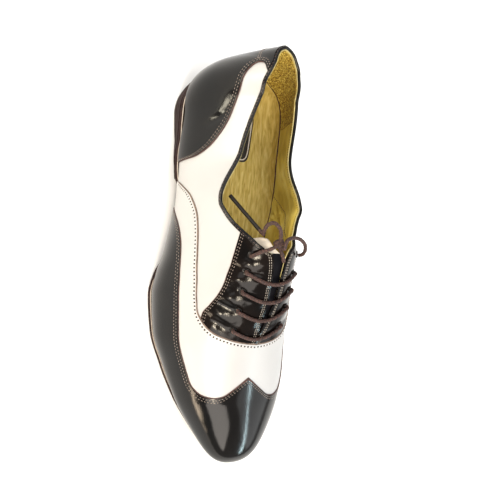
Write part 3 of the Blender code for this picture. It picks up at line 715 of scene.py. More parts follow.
class Sheet:
    """Grid on one side of the last, from a visible edge in its first column inwards."""

    def __init__(self, side, place, angle):
        self.side = side
        self.place = np.broadcast_to(place, angle.shape)
        self.angle = angle
        self.points, self.normals = skin(side, self.place, angle)
        steps = np.linalg.norm(np.diff(self.points, axis=1), axis=-1)
        self.depth = np.concatenate([np.zeros((len(steps), 1)), np.cumsum(steps, axis=1)], axis=1)

    def creases(self):
        """Height of the leather's creases."""
        return troughs(self.place, self.angle, CREASES[self.side])

    def line(self, inset, lift):
        """Line at a distance from the first column, at a height above the last, with its normals."""
        index = np.array([np.searchsorted(row, inset) for row in self.depth])
        rows = np.flatnonzero((index > 0) & (index < self.depth.shape[1]))
        k = index[rows]
        low = self.depth[rows, k - 1]
        share = ((inset - low) / (self.depth[rows, k] - low))[:, None]
        points = self.points[rows, k - 1] * (1 - share) + self.points[rows, k] * share
        normals = self.normals[rows, k - 1] * (1 - share) + self.normals[rows, k] * share
        height = self.creases()[rows, k] + lift
        return points + normals * height[:, None], normals


def panel(side, rows, count, across, shares=False):
    """Sheet spun between the two edges of a panel's table, with close columns along the visible one."""
    line = smooth_line(rows, count, SHARE_MM if shares else ANGLE_MM)
    near = CLOSE_COLUMNS[None, :]
    rough = np.linspace(0, 1, ROUGH_COLUMNS)[None, :]

    def spread(v):
        place = line[:, 0:1] * (1 - v) + line[:, 2:3] * v
        angle = line[:, 1:2] * (1 - v) + line[:, 3:4] * v
        if shares:
            return place, edge_angle(side, place) * np.clip(angle, 0, 1)
        return place, level(side, place, np.radians(np.clip(angle, 0, 90)))

    place, angle = spread(rough)
    long = np.linalg.norm(np.diff(surface(side, station(place), angle), axis=1), axis=-1).sum(axis=1)
    even = np.arange(near.size)[None, :] / (across + near.size)
    close = np.minimum(near / np.maximum(long, LEAST_WIDTH)[:, None], even)
    rest = close[:, -1:] + (1 - close[:, -1:]) * np.linspace(0, 1, across + 1)[None, 1:]
    return Sheet(side, *spread(np.concatenate([close, rest], axis=1)))


def place_points(points):
    """From millimetres in the last's frame to metres in the row frame."""
    return (np.asarray(points) + SHIFT) * MM


def build(name, points, faces, kinds, finishes, sharp=38.0):
    """Mesh object that rides on the shoe, with one material for each kind of face."""
    mesh = bpy.data.meshes.new(name)
    mesh.from_pydata(place_points(points).tolist(), [], faces)
    work = bmesh.new()
    work.from_mesh(mesh)
    bmesh.ops.recalc_face_normals(work, faces=work.faces)
    work.to_mesh(mesh)
    work.free()
    for finish in finishes:
        mesh.materials.append(finish)
    mesh.polygons.foreach_set("material_index", np.asarray(kinds, np.int32))
    mesh.shade_smooth()
    mesh.set_sharp_from_angle(angle=np.radians(sharp))
    made = bpy.data.objects.new(name, mesh)
    bpy.context.scene.collection.objects.link(made)
    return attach(made, "root")


def join(grids, kinds):
    """Shares the points that coincide in grids: all points, first uses, numbers, faces and kinds of face."""
    points = np.vstack([grid.reshape(-1, 3) for grid in grids])
    first, names = np.unique(np.round(points, 3), axis=0, return_index=True, return_inverse=True)[1:]
    names = names.ravel()
    faces = []
    face_kinds = []
    start = 0
    for grid, kind in zip(grids, kinds):
        n, m = grid.shape[:2]
        block = names[start:start + n * m].reshape(n, m)
        start += n * m
        quads = np.stack([block[:-1, :-1], block[1:, :-1], block[1:, 1:], block[:-1, 1:]], -1).reshape(-1, 4)
        kind = np.broadcast_to(kind, (n - 1, m - 1)).ravel()
        for corners, face_kind in zip(quads.tolist(), kind.tolist()):
            face = list(dict.fromkeys(corners))
            if len(face) > 2:
                faces.append(face)
                face_kinds.append(face_kind)
    return points, first, names, faces, face_kinds


def close_up(name, top, bottom, faces, kinds, finishes):
    """Closed solid between two sets of points that share one set of faces."""
    count = len(top)
    edges = {}
    for face, kind in zip(faces, kinds):
        for start, end in zip(face, face[1:] + face[:1]):
            edges.setdefault((min(start, end), max(start, end)), []).append(kind)
    solid = list(faces)
    solid_kinds = list(kinds)
    for face, kind in zip(faces, kinds):
        solid.append([corner + count for corner in reversed(face)])
        solid_kinds.append(kind)
    for (start, end), beside in edges.items():
        if len(beside) == 1:
            solid.append([start, end, end + count, start + count])
            solid_kinds.append(beside[0])
    return build(name, np.vstack([top, bottom]), solid, solid_kinds, finishes)


def layer(name, sheets, heights, finishes, wave=None, raw_columns=2, throat_kind=1):
    """Sheet of leather on the last, rounded along its visible edge, with a raw cut rim."""
    low, high = heights
    tops = []
    kinds = []
    waves = []
    for sheet in sheets:
        turn = 1 - np.clip(sheet.depth / CUT_ROUND, 0, 1)
        swell = 1 - CUT_SHARE * (1 - np.sqrt(1 - turn ** 2))
        tops.append(low + (high - low) * swell)
        waves.append(sheet.creases() if wave is None else wave(sheet))
        column = np.arange(sheet.points.shape[1] - 1)[None, :]
        raw = np.where(sheet.place[:-1, :-1] > THROAT["x"][0] - THROAT_MARGIN, throat_kind, 1)
        kinds.append(np.where(column < raw_columns, raw, 0))
    points, first, names, faces, face_kinds = join([sheet.points for sheet in sheets], kinds)
    normals = np.zeros((len(first), 3))
    np.add.at(normals, names, np.vstack([sheet.normals.reshape(-1, 3) for sheet in sheets]))
    normals = unit(normals)
    rise = np.concatenate([grid.ravel() for grid in tops])[first, None]
    bump = np.concatenate([grid.ravel() for grid in waves])[first, None]
    top = points[first] + normals * (rise + bump)
    bottom = points[first] + normals * (low + bump)
    return close_up(name, top, bottom, faces, face_kinds, finishes)


def frames(route, closed=False):
    """Unit tangents and two unit normals carried along a route without twisting."""
    ahead = np.roll(route, -1, axis=0) - np.roll(route, 1, axis=0)
    if not closed:
        ahead[0] = route[1] - route[0]
        ahead[-1] = route[-1] - route[-2]
    tangent = unit(ahead)
    start = np.cross(tangent[0], (0.0, 0.0, 1.0))
    if np.linalg.norm(start) < 0.1:
        start = np.cross(tangent[0], (0.0, 1.0, 0.0))
    across = [unit(start)]
    for direction in tangent[1:]:
        across.append(unit(across[-1] - direction * (across[-1] @ direction)))
    across = np.array(across)
    return tangent, across, np.cross(tangent, across)


def dense(route):
    """Smooth route through points, with even close steps."""
    rough = smooth_line(route, ROUTE_POINTS)
    steps = lengths(rough)
    walk = np.linspace(0, steps[-1], max(int(steps[-1] / LACE_PITCH), LEAST_POINTS))
    return sample(walk, steps, rough)


def ring_faces(count, sides, closed=False):
    """Quads between the rings of a tube, and the number of each of its points."""
    number = np.arange(count * sides).reshape(count, sides)
    there = np.roll(number, -1, axis=0)
    quads = np.stack([number, np.roll(number, -1, axis=1), np.roll(there, -1, axis=1), there], -1)
    return (quads if closed else quads[:-1]).reshape(-1, 4).tolist(), number


def tube(name, route, radius, finish, sides=14, braid=0.0, closed=False):
    """Round cord along a close route; braid raises crossing strands on its skin."""
    tangent, across, up = frames(route, closed)
    turn = circle(sides)[None, :]
    walk = lengths(route)[:, None] / radius
    strands = np.maximum(np.sin(2 * turn + BRAID_TURN * walk), np.sin(2 * turn - BRAID_TURN * walk))
    reach = radius * (1 + braid * (strands - 0.5))
    ring = (route[:, None, :] + across[:, None, :] * (np.cos(turn) * reach)[..., None]
            + up[:, None, :] * (np.sin(turn) * reach)[..., None])
    faces, number = ring_faces(len(route), sides, closed)
    if not closed:
        faces.append(number[0][::-1].tolist())
        faces.append(number[-1].tolist())
    return build(name, ring.reshape(-1, 3), faces, np.zeros(len(faces)), [finish], sharp=60.0)


def grains(name, centres, tangents, normals, size, finish):
    """Many small rounded grains, such as stitches, laid along a surface."""
    rings = 5
    sides = 6
    lift = np.linspace(-1, 1, rings + 2)[1:-1]
    body = [(x, np.cos(a) * (1 - x ** 4) ** 0.5, np.sin(a) * (1 - x ** 4) ** 0.5)
            for x in lift for a in circle(sides)]
    template = np.array(body + [(-1.0, 0.0, 0.0), (1.0, 0.0, 0.0)])
    pattern = ring_faces(rings, sides)[0]
    first = len(body)
    for k in range(sides):
        n = (k + 1) % sides
        pattern.append([first, n, k])
        pattern.append([first + 1, first - sides + k, first - sides + n])
    long, wide, high = size
    sideways = np.cross(normals, tangents)
    points = (centres[:, None, :] + tangents[:, None, :] * (template[None, :, 0:1] * long / 2)
              + sideways[:, None, :] * (template[None, :, 1:2] * wide / 2)
              + normals[:, None, :] * (template[None, :, 2:3] * high / 2))
    faces = []
    for offset in range(0, len(centres) * len(template), len(template)):
        faces.extend([[corner + offset for corner in face] for face in pattern])
    return build(name, points.reshape(-1, 3), faces, np.zeros(len(faces)), [finish], sharp=80.0)


def seam(lines, pitch):
    """Centres, tangents and normals of stitches at an even pitch along lines."""
    reach = 0.3
    centres = []
    tangents = []
    normals = []
    for points, facing in lines:
        steps = lengths(points)
        walk = np.arange(pitch / 2, steps[-1], pitch)
        tangent = unit(sample(walk + reach, steps, points) - sample(walk - reach, steps, points))
        normal = sample(walk, steps, facing)
        centres.append(sample(walk, steps, points))
        tangents.append(tangent)
        normals.append(unit(normal - tangent * (normal * tangent).sum(axis=1)[:, None]))
    return np.vstack(centres), np.vstack(tangents), np.vstack(normals)


class Finish:
    """Builds a material's nodes on object coordinates, in metres."""

    def __init__(self, name, roughness, values):
        self.material = bpy.data.materials.new(name)
        self.material.use_nodes = True
        self.tree = self.material.node_tree
        self.shader = self.tree.nodes["Principled BSDF"]
        self.shader.inputs["Roughness"].default_value = roughness
        for socket, value in values.items():
            self.shader.inputs[socket].default_value = value
        self.coordinates = self.tree.nodes.new("ShaderNodeTexCoord")

    def link(self, output, target):
        self.tree.links.new(output, target)

    def texture(self, kind, scale, stretch):
        """Texture node of a kind on stretched coordinates."""
        mapping = self.tree.nodes.new("ShaderNodeMapping")
        mapping.inputs["Scale"].default_value = stretch
        self.link(self.coordinates.outputs["Object"], mapping.inputs["Vector"])
        node = self.tree.nodes.new(kind)
        node.inputs["Scale"].default_value = scale
        self.link(mapping.outputs["Vector"], node.inputs["Vector"])
        return node

    def noise(self, scale, detail=3.0, stretch=(1.0, 1.0, 1.0), distortion=0.0):
        node = self.texture("ShaderNodeTexNoise", scale, stretch)
        node.inputs["Detail"].default_value = detail
        node.inputs["Distortion"].default_value = distortion
        return node.outputs["Fac"]

    def cells(self, scale):
        return self.texture("ShaderNodeTexVoronoi", scale, (1.0, 1.0, 1.0)).outputs["Distance"]

    def colour(self, value, stops):
        """Base colour from a ramp over a value: pairs of position and colour."""
        node = self.tree.nodes.new("ShaderNodeValToRGB")
        elements = node.color_ramp.elements
        for element, (position, colour) in zip(elements, (stops[0], stops[-1])):
            element.position = position
            element.color = (*colour, 1.0)
        for position, colour in stops[1:-1]:
            elements.new(position).color = (*colour, 1.0)
        self.link(value, node.inputs["Fac"])
        self.link(node.outputs["Color"], self.shader.inputs["Base Color"])

    def rough(self, value, low, high):
        node = self.tree.nodes.new("ShaderNodeMapRange")
        node.inputs["To Min"].default_value = low
        node.inputs["To Max"].default_value = high
        self.link(value, node.inputs["Value"])
        self.link(node.outputs["Result"], self.shader.inputs["Roughness"])

    def bump(self, layers):
        """Bumps on top of each other: kind of texture, depth in metres, values of the texture."""
        target = None
        for kind, depth, *values in layers:
            node = self.tree.nodes.new("ShaderNodeBump")
            node.inputs["Strength"].default_value = 1.0
            node.inputs["Distance"].default_value = depth
            height = self.noise(*values) if kind == "noise" else self.cells(*values)
            self.link(height, node.inputs["Height"])
            if target is not None:
                self.link(target, node.inputs["Normal"])
            target = node.outputs["Normal"]
        if target is not None:
            self.link(target, self.shader.inputs["Normal"])


def make_finishes():
    """All materials of the shoe."""
    made = {}
    for key, name, roughness, values, colour, stops, rough, bumps in FINISHES:
        finish = Finish(name, roughness, values)
        finish.colour(finish.noise(*colour), stops)
        if rough is not None:
            scale, low, high = rough
            finish.rough(finish.noise(scale), low, high)
        finish.bump(bumps)
        made[key] = finish.material
    return made


def upper_sheets(shares, peek=0.0):
    """Both sides of the whole upper, from its top edge down to the feather edge."""
    places = np.unique(np.concatenate([even_steps(UPPER_STEPS), np.linspace(*CORNER_STEPS)]))
    sheets = []
    for side in SIDES:
        top = 1 + peek * np.where(places < THROAT_SHOWS, 1.0, LINING_BEYOND)
        angle = (edge_angle(side, places) * top)[:, None] * shares[None, :]
        sheets.append(Sheet(side, places[:, None], np.minimum(angle, RIGHT_ANGLE)))
    return sheets


def add_upper(finish):
    """Base of the quarters and vamp, with the lining inside it."""
    base = layer("quarters", upper_sheets(1 - even_steps(BASE_SHARES)), BASE,
                 [finish["white"], finish["edge_and_seam_shade"], finish["facing"]], throat_kind=2)
    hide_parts("upper")
    inner = layer("lining", upper_sheets(1 - even_steps(LINING_SHARES), LINING_PEEK), LINING,
                  [finish["lining"], finish["lining_edge"]],
                  wave=lambda sheet: troughs(sheet.place, sheet.angle, WRINKLES))


def add_heel_grip(finish):
    """Suede patch inside the back of the heel."""
    sheets = []
    places = even_steps(GRIP_STEPS)
    for side in SIDES:
        angle = edge_angle(side, places)[:, None] * np.linspace(*GRIP_SHARES)[None, :]
        sheets.append(Sheet(side, places[:, None], angle))
    patch = layer("heel_grip", sheets, GRIP, [finish["suede"], finish["suede"]],
                  wave=lambda sheet: 0 * sheet.place)


def add_panels(finish):
    """Facings, vamp, wing and counter, each over the one before."""
    facings = []
    for side in SIDES:
        places = np.linspace(FACING_EDGE["x"][0], FACING_EDGE["x"][-1], FACING_COUNT)
        low = level(side, places, np.radians(read(FACING_EDGE, "angle", places)))
        high = np.maximum(edge_angle(side, places), low)
        angle = low[:, None] + (high - low)[:, None] * FACING_SHARES[None, :]
        sheet = Sheet(side, places[:, None], angle)
        made = layer(f"facing_{side_name(side)}", [sheet], FACING, [finish["facing"], finish["raw"]])
        facings.append(sheet)
    vamp = [panel(side, VAMP_PANEL, *VAMP_GRID) for side in SIDES]
    # The vamp's first four edge columns take the dark edge colour, partly painted shade along its seam
    made = layer("vamp", vamp, VAMP, [finish["white"], finish["edge_and_seam_shade"]], raw_columns=4)
    wing = [panel(side, WING_PANEL, *WING_GRID) for side in SIDES]
    made = layer("wing_leather", wing, WING, [finish["patent"], finish["raw"]])
    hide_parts("wingtip")
    counter = [panel(side, COUNTER_PANEL, *COUNTER_GRID, shares=True) for side in SIDES]
    made = layer("counter_leather", counter, COUNTER, [finish["patent"], finish["raw"]])
    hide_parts("heel_counter")
    return facings, vamp, wing, counter


def flipped(sheet):
    """The same sheet measured from its last column."""
    return Sheet(sheet.side, sheet.place[:, ::-1], sheet.angle[:, ::-1])


def add_stitching(finish, facings, vamp, wing, counter):
    """Thread along the edges of the panels, across the back, on the lining and along the binding."""
    rows = {name: [] for name, pitch, size, thread in STITCHES}
    for sheets, insets, lift in ((wing, PANEL_INSETS, WING[1]), (counter, PANEL_INSETS, COUNTER[1]),
                                 (facings, FACING_INSETS, FACING[1])):
        for sheet in sheets:
            rows["stitching_brown"].extend([sheet.line(inset, lift) for inset in insets])
    for sheet in facings:
        edge = flipped(sheet)
        for inset in GAP_INSETS:
            points, normals = edge.line(inset, FACING[1])
            keep = points[:, 0] > GAP_START
            rows["stitching_gap"].append((points[keep], normals[keep]))
    for sheet in vamp:
        points, normals = sheet.line(VAMP_INSET, VAMP[1])
        rows["stitching_vamp"].append((points, normals))
        # Dark grains along the same row: painted shade of the needle holes
        rows["needle_holes"].append((points[HOLES_START:], normals[HOLES_START:]))
    for side in SIDES:
        places = np.linspace(*BACK_SPAN)
        for low, high in BACK_ROWS:
            angle = angle_at_height(side, places, low + (high - low) * places / BACK_SPAN[1])
            points, normals = skin(side, places, angle)
            rows["stitching_back"].append((points + normals * (COUNTER[1] + BACK_LIFT), normals))
        lining = smooth_line(LINING_SEAM, SEAM_POINTS)
        rim = np.column_stack([np.linspace(*RIM_SPAN), np.full(RIM_SPAN[2], RIM_ROW)])
        for name, line in (("stitching_lining", lining), ("stitching_rim", rim)):
            angle = edge_angle(side, line[:, 0]) * line[:, 1]
            points, normals = skin(side, line[:, 0], angle)
            lift = LINING[0] - LINING_LIFT + troughs(line[:, 0], angle, WRINKLES)
            rows[name].append((points + normals * lift[:, None], -normals))
    points, normals, up = topline_route()
    rows["stitching_binding"].append((points + normals * BINDING_ROW[0] - up * BINDING_ROW[1], normals))
    for name, pitch, size, thread in STITCHES:
        piece = grains(name, *seam(rows[name], pitch), size, finish[thread])


def topline_route():
    """Points of the top edge from the lateral facing round the heel, with normals and up directions."""
    places = even_steps(TOPLINE_STEPS)
    lateral, medial = [skin(side, places, edge_angle(side, places)) for side in SIDES]
    points, normals = [np.vstack([before[::-1], after[1:]]) for before, after in zip(lateral, medial)]
    tangent = unit(np.gradient(points, axis=0))
    up = unit(np.cross(normals, tangent))
    up *= np.sign(up[:, 2:3])
    square = np.cross(tangent, up)
    square *= np.sign((square * normals).sum(axis=1))[:, None]
    return points, square, up


def add_binding(finish):
    """Rolled black binding over the top edge."""
    points, normals, up = topline_route()
    out_share = BINDING_PROFILE[None, :, 0:1]
    up_share = BINDING_PROFILE[None, :, 1:2]
    grid = points[:, None, :] + normals[:, None, :] * out_share + up[:, None, :] * up_share
    faces, number = ring_faces(*grid.shape[:2])
    faces.append(number[0].tolist())
    faces.append(number[-1][::-1].tolist())
    made = build("topline_binding", grid.reshape(-1, 3), faces, np.zeros(len(faces)), [finish["patent"]],
                 sharp=70.0)


def plan_edge(places, stand):
    """Lateral and medial line of the plan at the feather edge, moved out by a stand that varies with x."""
    edges = [surface(side, station(places), 0.0)[:, :2] for side in SIDES]
    loop = np.vstack([edges[0], edges[1][::-1]])
    ahead = np.roll(loop, -1, axis=0)
    behind = np.roll(loop, 1, axis=0)
    count = len(places)
    ahead[[count - 1, 2 * count - 1]] = loop[[count + 1, 1]]
    behind[[0, count]] = loop[[2 * count - 2, count - 2]]
    along = ahead - behind
    normal = unit(np.stack([along[:, 1], -along[:, 0]], -1))
    moved = loop + normal * np.reshape(stand(loop[:, 0]), (-1, 1))
    return moved[:count], moved[count:][::-1]


def sole_stand(x):
    return read(WELT, "stand", x)


def sole_top(x):
    return last("seat", x) - GAP


def sole_bottom(x):
    return np.maximum(sole_top(x) - SOLE, 0.0)


def heel_taper(x):
    """How far the foot of the heel stands in from its top."""
    share = np.clip((x - HEEL_PIVOT) / (TAPER_END - HEEL_PIVOT), 0, 1)
    return BACK_TAPER + (BREAST_TAPER - BACK_TAPER) * share


def block(name, levels, finishes, wall_kinds, cap_kinds, breast=False):
    """Closed block from outlines at levels, each a lateral line and a medial line of points in space."""
    share = np.linspace(0, 1, CAP_POINTS)[None, :, None]
    grids = []
    kinds = []
    for (lateral, medial), kind in ((levels[0], cap_kinds[0]), (levels[-1], cap_kinds[1])):
        grids.append(lateral[:, None, :] * (1 - share) + medial[:, None, :] * share)
        kinds.append(kind)
    walls = list(zip(levels[:-1], levels[1:], wall_kinds))
    for line in range(2):
        for upper, lower, kind in walls:
            grids.append(np.stack([upper[line], lower[line]], 1))
            kinds.append(kind)
    if breast:
        for upper, lower, kind in walls:
            ends = [(lateral[-1], medial[-1]) for lateral, medial in (upper, lower)]
            grids.append(np.stack([(1 - share[0]) * left + share[0] * right for left, right in ends], 1))
            kinds.append(kind)
    points, first, names, faces, face_kinds = join(grids, kinds)
    return build(name, points[first], faces, face_kinds, finishes)


def add_sole(finish):
    """Outsole with a rounded dark edge and a suede tread, and the rand above it, made pale as a painted
    highlight of the rolled feather edge.
    """
    places = even_steps(OUTLINE_STEPS)
    levels = []
    for outset, share in SOLE_EDGE:
        lines = []
        for line in plan_edge(places, lambda x: sole_stand(x) + outset):
            z = sole_top(line[:, 0]) * (1 - share) + sole_bottom(line[:, 0]) * share
            lines.append(np.column_stack([line, z]))
        levels.append(lines)
    made = block("sole_leather", levels, [finish["sole"], finish["tread"]], [0] * (len(levels) - 1), (0, 1))
    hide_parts("outsole")
    lateral, medial = plan_edge(places, lambda x: sole_stand(x) - RAND_INSET)
    loop = np.vstack([lateral, medial[::-1][1:-1]])
    loop = np.column_stack([loop, last("seat", loop[:, 0]) - RAND_DROP])
    rand = tube("rand", loop, RAND_RADIUS, finish["rand"], sides=8, closed=True)


def add_heel(finish):
    """Stacked heel with thin lifts and a darker top piece."""
    whole = even_steps(OUTLINE_STEPS)
    places = np.append(whole[whole < HEEL_BREAST], HEEL_BREAST)
    every = np.concatenate([places, whole[whole > HEEL_BREAST]])
    levels = []
    for share, groove in HEEL_LEVELS:
        lines = []
        inset = share ** TAPER_CURVE
        for line in plan_edge(every, lambda x: sole_stand(x) + groove - heel_taper(x) * inset):
            line = line[:len(places)].copy()
            line[-1, 0] = HEEL_BREAST - BREAST_SLANT * share + groove
            z = (sole_bottom(line[:, 0]) - GAP) * (1 - share)
            lines.append(np.column_stack([line, z]))
        levels.append(lines)
    walls = [0] * LIFT_WALLS + [1] * TOP_PIECE_WALLS
    made = block("heel_stack", levels, [finish["sole"], finish["lift"]], walls, (0, 1), breast=True)
    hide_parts("heel")


def sock_grid(side, places, inset, rise):
    """Section of the sock at each place: over the floor from the middle, round the corner, up the wall."""
    t = station(places)
    spine, along, across = plan(side, t)
    middle = np.stack([spine, last("centre", spine)], -1)
    seat = last("seat", spine + along)
    top = np.maximum(read(SOCK_EDGE, "z", table_place(t)), seat + INSOLE + SOCK_RISE)
    low = angle_at_height(side, places, seat + INSOLE + SOCK_CORNER)
    high = np.maximum(angle_at_height(side, places, top), low + SOCK_LEAST)
    angle = low[:, None] + (high - low)[:, None] * even_steps(SOCK_WALL)[None, :]
    outside, normals = skin(side, places[:, None], angle)
    wall = outside - normals * inset
    foot = wall[:, 0, :2]
    share = np.linspace(0, SOCK_FLAT, SOCK_FLOOR_POINTS)[None, :, None]
    floor = middle[:, None, :] * (1 - share) + foot[:, None, :] * share
    floor = np.concatenate([floor, (last("seat", floor[..., 0]) + rise)[..., None]], -1)
    bend = np.linspace(0, 1, SOCK_BEND_POINTS)[None, 1:-1, None]
    corner = np.concatenate([foot, (last("seat", foot[:, 0]) + rise)[:, None]], -1)[:, None, :]
    start = floor[:, -1:, :]
    wall = wall[:, SOCK_BEND_ROW:]
    curve = start * (1 - bend) ** 2 + corner * 2 * bend * (1 - bend) + wall[:, :1] * bend ** 2
    return np.concatenate([floor, curve, wall], axis=1)


def add_insole(finish):
    """Cupped sock with its plain label."""
    places = even_steps(OUTLINE_STEPS)
    tops = [sock_grid(side, places, *SOCK_TOP) for side in SIDES]
    bottoms = [sock_grid(side, places, *SOCK_UNDER) for side in SIDES]
    rim = np.zeros((tops[0].shape[0] - 1, tops[0].shape[1] - 1), int)
    rim[:, -1] = 1
    points, first, names, faces, kinds = join(tops, [rim, rim])
    under = np.vstack([grid.reshape(-1, 3) for grid in bottoms])
    made = close_up("sock", points[first], under[first], faces, kinds, [finish["sock"], finish["raw"]])
    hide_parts("insole")
    add_label(finish)


def plate(name, rings, finish, sharp=38.0):
    """Disc of rings, from its rim to its middle."""
    grid = np.array(rings)
    grid = np.concatenate([grid, grid[:, :1]], axis=1)
    points, first, names, faces, kinds = join([grid], [0])
    return build(name, points[first], faces, kinds, [finish], sharp)


def add_label(finish):
    """Plain black woven label with a pale border, on the sock under the heel."""
    turn = np.radians(LABEL_TURN)
    turned = np.array([(np.cos(turn), np.sin(turn)), (-np.sin(turn), np.cos(turn))])
    around = circle(LABEL_POINTS)
    wheel = np.stack([np.cos(around), np.sin(around)], -1)
    corner = np.sign(wheel) * np.abs(wheel) ** LABEL_CORNER

    def ring(size, lift):
        flat = LABEL_CENTRE + corner * size @ turned
        return np.column_stack([flat, last("seat", flat[:, 0]) + INSOLE + lift])

    rings = [ring(LABEL_HALF - inset, lift) for inset, lift in LABEL_EDGE]
    rings.extend([ring(LABEL_HALF * share, LABEL_TOP) for share in LABEL_RINGS])
    label = plate("label", rings, finish["label"], sharp=60.0)
    border = tube("label_border", ring(LABEL_HALF - BORDER_INSET, BORDER_LIFT), BORDER_RADIUS,
                  finish["pale_thread"], sides=8, closed=True)


def add_tongue(finish):
    """Tongue with a cream lined top, under the facings."""
    count, across = TONGUE_GRID
    places = np.linspace(TONGUE_SHAPE["x"][0], TONGUE_SHAPE["x"][-1], count)
    drop = read(TONGUE_SHAPE, "drop", places)[:, None, None]
    left = read(TONGUE_SHAPE, "lateral", places)[:, None]
    right = read(TONGUE_SHAPE, "medial", places)[:, None]
    offset = left + (right - left) * np.linspace(0, 1, across)[None, :]
    place = np.broadcast_to(places[:, None], offset.shape)
    outside = np.zeros(offset.shape + (3,))
    normals = np.zeros(offset.shape + (3,))
    for side in SIDES:
        points, facing = skin(side, place, angle_at_offset(side, place, np.abs(offset)))
        here = (offset * side >= 0)[..., None]
        outside = np.where(here, points, outside)
        normals = np.where(here, facing, normals)
    top = outside - normals * (TONGUE_TOP + drop)
    bottom = outside - normals * (TONGUE_UNDER + drop)
    cream = np.where(places[:-1, None] < CREAM_END, 1, 0)
    points, first, names, faces, kinds = join([top], [cream])
    made = close_up("tongue_leather", points[first], bottom.reshape(-1, 3)[first], faces, kinds,
                    [finish["tongue"], finish["cream"]])
    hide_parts("tongue")


def over_facing(x, offset, lift):
    """Point a lift above the facings, at an offset from the ridge line, negative on the lateral side."""
    side = MEDIAL if offset > 0 else LATERAL
    point, normal = skin(side, x, angle_at_offset(side, x, abs(offset)))
    return point + normal * lift


def add_eyelets(finish):
    """Punched holes with a soft rolled lip, each with a dark disc inside that is painted shade of the hole.
    """
    around = circle(LIP_POINTS)[:, None]
    for row, (lateral_x, medial_x, spread) in enumerate(EYELETS, start=1):
        for side, x in ((LATERAL, lateral_x), (MEDIAL, medial_x)):
            angle = angle_at_offset(side, x, spread)
            middle, normal = skin(side, x, angle)
            along = surface(side, station(x) + MM, angle) - middle
            along = unit(along - normal * (along @ normal))
            wheel = along * np.cos(around) + np.cross(normal, along) * np.sin(around)
            seat = FACING[1] + troughs(x, angle, CREASES[side])
            lip = middle + wheel * LIP_RADIUS + normal * (seat + LIP_LIFT)
            name = f"{row}_{side_name(side)}"
            ring = tube(f"eyelet_{name}", lip, LIP_TUBE, finish["patent"], sides=10, closed=True)
            # Dark disc inside the lip: painted shade of the hole
            rings = [middle + wheel * reach + normal * (seat + HOLE_LIFT) for reach in HOLE_RINGS]
            hole = plate(f"eyelet_hole_{name}", rings, finish["hole"])


def lace(name, route, finish, closed=False):
    """Braided lace along a close route."""
    return tube(name, route, CORD / 2, finish["lace"], braid=BRAID, closed=closed)


def add_laces(finish):
    """Bars across the gap, the run to the knot, the knot, two loops and two ends."""
    walk = np.linspace(0, 1, BAR_POINTS)
    for row, (lateral_x, medial_x, spread) in enumerate(EYELETS[1:], start=2):
        along = lateral_x + (medial_x - lateral_x) * walk + BAR_BOW * np.sin(np.pi * walk)
        offset = spread * (2 * walk - 1)
        start = over_facing(lateral_x - BAR_BACK, -spread, -BAR_SINK)
        over = [over_facing(x, y, CORD / 2 + BAR_LIFT) for x, y in zip(along, offset)]
        end = over_facing(medial_x - BAR_BACK, spread, -BAR_SINK)
        bar = lace(f"lace_row_{row}", dense([start, *over, end]), finish)
        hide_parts(f"lace_bar_{row}")
    run = lace("lace_run", dense(RUN_LATERAL), finish)
    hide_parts("lace_run_lateral")
    knot = add_knot(finish)
    tail = lace("lace_tail", dense(END_SHORT), finish)
    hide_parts("lace_end_short")
    long_end = dense(END_LONG)
    tip_start = np.searchsorted(lengths(long_end), lengths(long_end)[-1] - DARK_TIP_LENGTH)
    dark_tip = tube("lace_tip", long_end[tip_start:], CORD / 2 * DARK_TIP_SWELL, finish["dark_tip"], sides=18)
    free = (("lace_long", long_end[:-TIP_COVER], "lace_end_long", "bare", [dark_tip]),
            ("lace_rear_loop", dense(LOOP_REAR), "lace_loop_rear", "object", knot + [tail]),
            ("lace_medial_loop", dense(LOOP_MEDIAL), "lace_loop_medial", "object", []))
    for name, route, node, far_end, pieces in free:
        cord = lace(name, route, finish)
        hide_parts(node)


def add_knot(finish):
    """Tight wraps of the lace round itself."""
    turn = np.radians(KNOT_TURN)
    turned = np.array([(np.cos(turn), np.sin(turn), 0), (-np.sin(turn), np.cos(turn), 0), (0, 0, 1)])
    across = np.cos(circle(KNOT_POINTS))
    up = np.sin(circle(KNOT_POINTS))
    wraps = []
    for number, (lean, shift, wide) in enumerate(KNOT_WRAPS, start=1):
        ring = np.stack([shift + lean * across, wide * across, KNOT_HALF_HEIGHT * up], -1)
        route = np.array(KNOT_CENTRE) + ring @ turned
        wraps.append(lace(f"lace_knot_wrap_{number}", route, finish, closed=True))
    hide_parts("lace_knot")
    return wraps


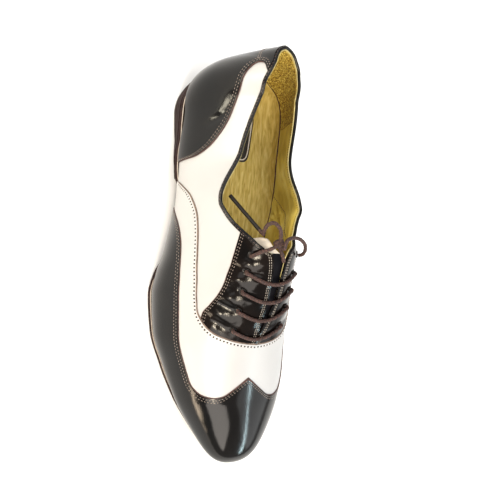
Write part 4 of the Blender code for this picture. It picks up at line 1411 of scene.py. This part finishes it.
def add_stage():
    """Pale floor, soft lights and the photograph's camera."""
    scene = bpy.context.scene
    floor_mesh = bpy.data.meshes.new("floor")
    corners = [(x * FLOOR_REACH, y * FLOOR_REACH, 0) for x, y in ((-1, -1), (1, -1), (1, 1), (-1, 1))]
    floor_mesh.from_pydata(corners, [], [(0, 1, 2, 3)])
    floor = bpy.data.objects.new("floor", floor_mesh)
    scene.collection.objects.link(floor)
    pale = Finish("pale_floor", FLOOR_ROUGHNESS, {"Base Color": FLOOR_COLOUR})
    floor_mesh.materials.append(pale.material)

    world = bpy.data.worlds.new("studio")
    world.use_nodes = True
    background = world.node_tree.nodes["Background"]
    background.inputs["Color"].default_value = (1.0, 1.0, 1.0, 1.0)
    background.inputs["Strength"].default_value = WORLD_LIGHT
    scene.world = world
    for name, place, size, power, aim, roll, colour in LIGHTS:
        light = bpy.data.lights.new(name, "AREA")
        light.shape = "RECTANGLE"
        light.size, light.size_y = size
        light.energy = power
        light.color = colour
        lamp = bpy.data.objects.new(name, light)
        lamp.location = place
        lamp.rotation_mode = "QUATERNION"
        facing = (Vector(aim) - Vector(place)).to_track_quat("-Z", "Y")
        lamp.rotation_quaternion = facing @ Quaternion((0.0, 0.0, 1.0), -np.radians(roll))
        scene.collection.objects.link(lamp)

    turn = Vector(CAMERA_TURN)
    right, down, ahead = Matrix.Rotation(turn.length, 3, turn)
    camera_data = bpy.data.cameras.new("camera")
    camera_data.lens = FOCAL_PIXELS / PICTURE * camera_data.sensor_width
    camera_data.clip_start = CLIP_START
    camera = bpy.data.objects.new("camera", camera_data)
    stand = Matrix.Translation(Vector(place_points(CAMERA_PLACE)))
    camera.matrix_world = stand @ Matrix((right, -down, -ahead)).transposed().to_4x4()
    scene.collection.objects.link(camera)
    scene.camera = camera
    scene.view_settings.view_transform = "Standard"


def main():
    finish = make_finishes()
    add_stage()
    add_laces(finish)
    add_upper(finish)
    add_heel_grip(finish)
    facings, vamp, wing, counter = add_panels(finish)
    add_stitching(finish, facings, vamp, wing, counter)
    add_binding(finish)
    add_eyelets(finish)
    add_sole(finish)
    add_heel(finish)
    add_insole(finish)
    add_tongue(finish)


main()
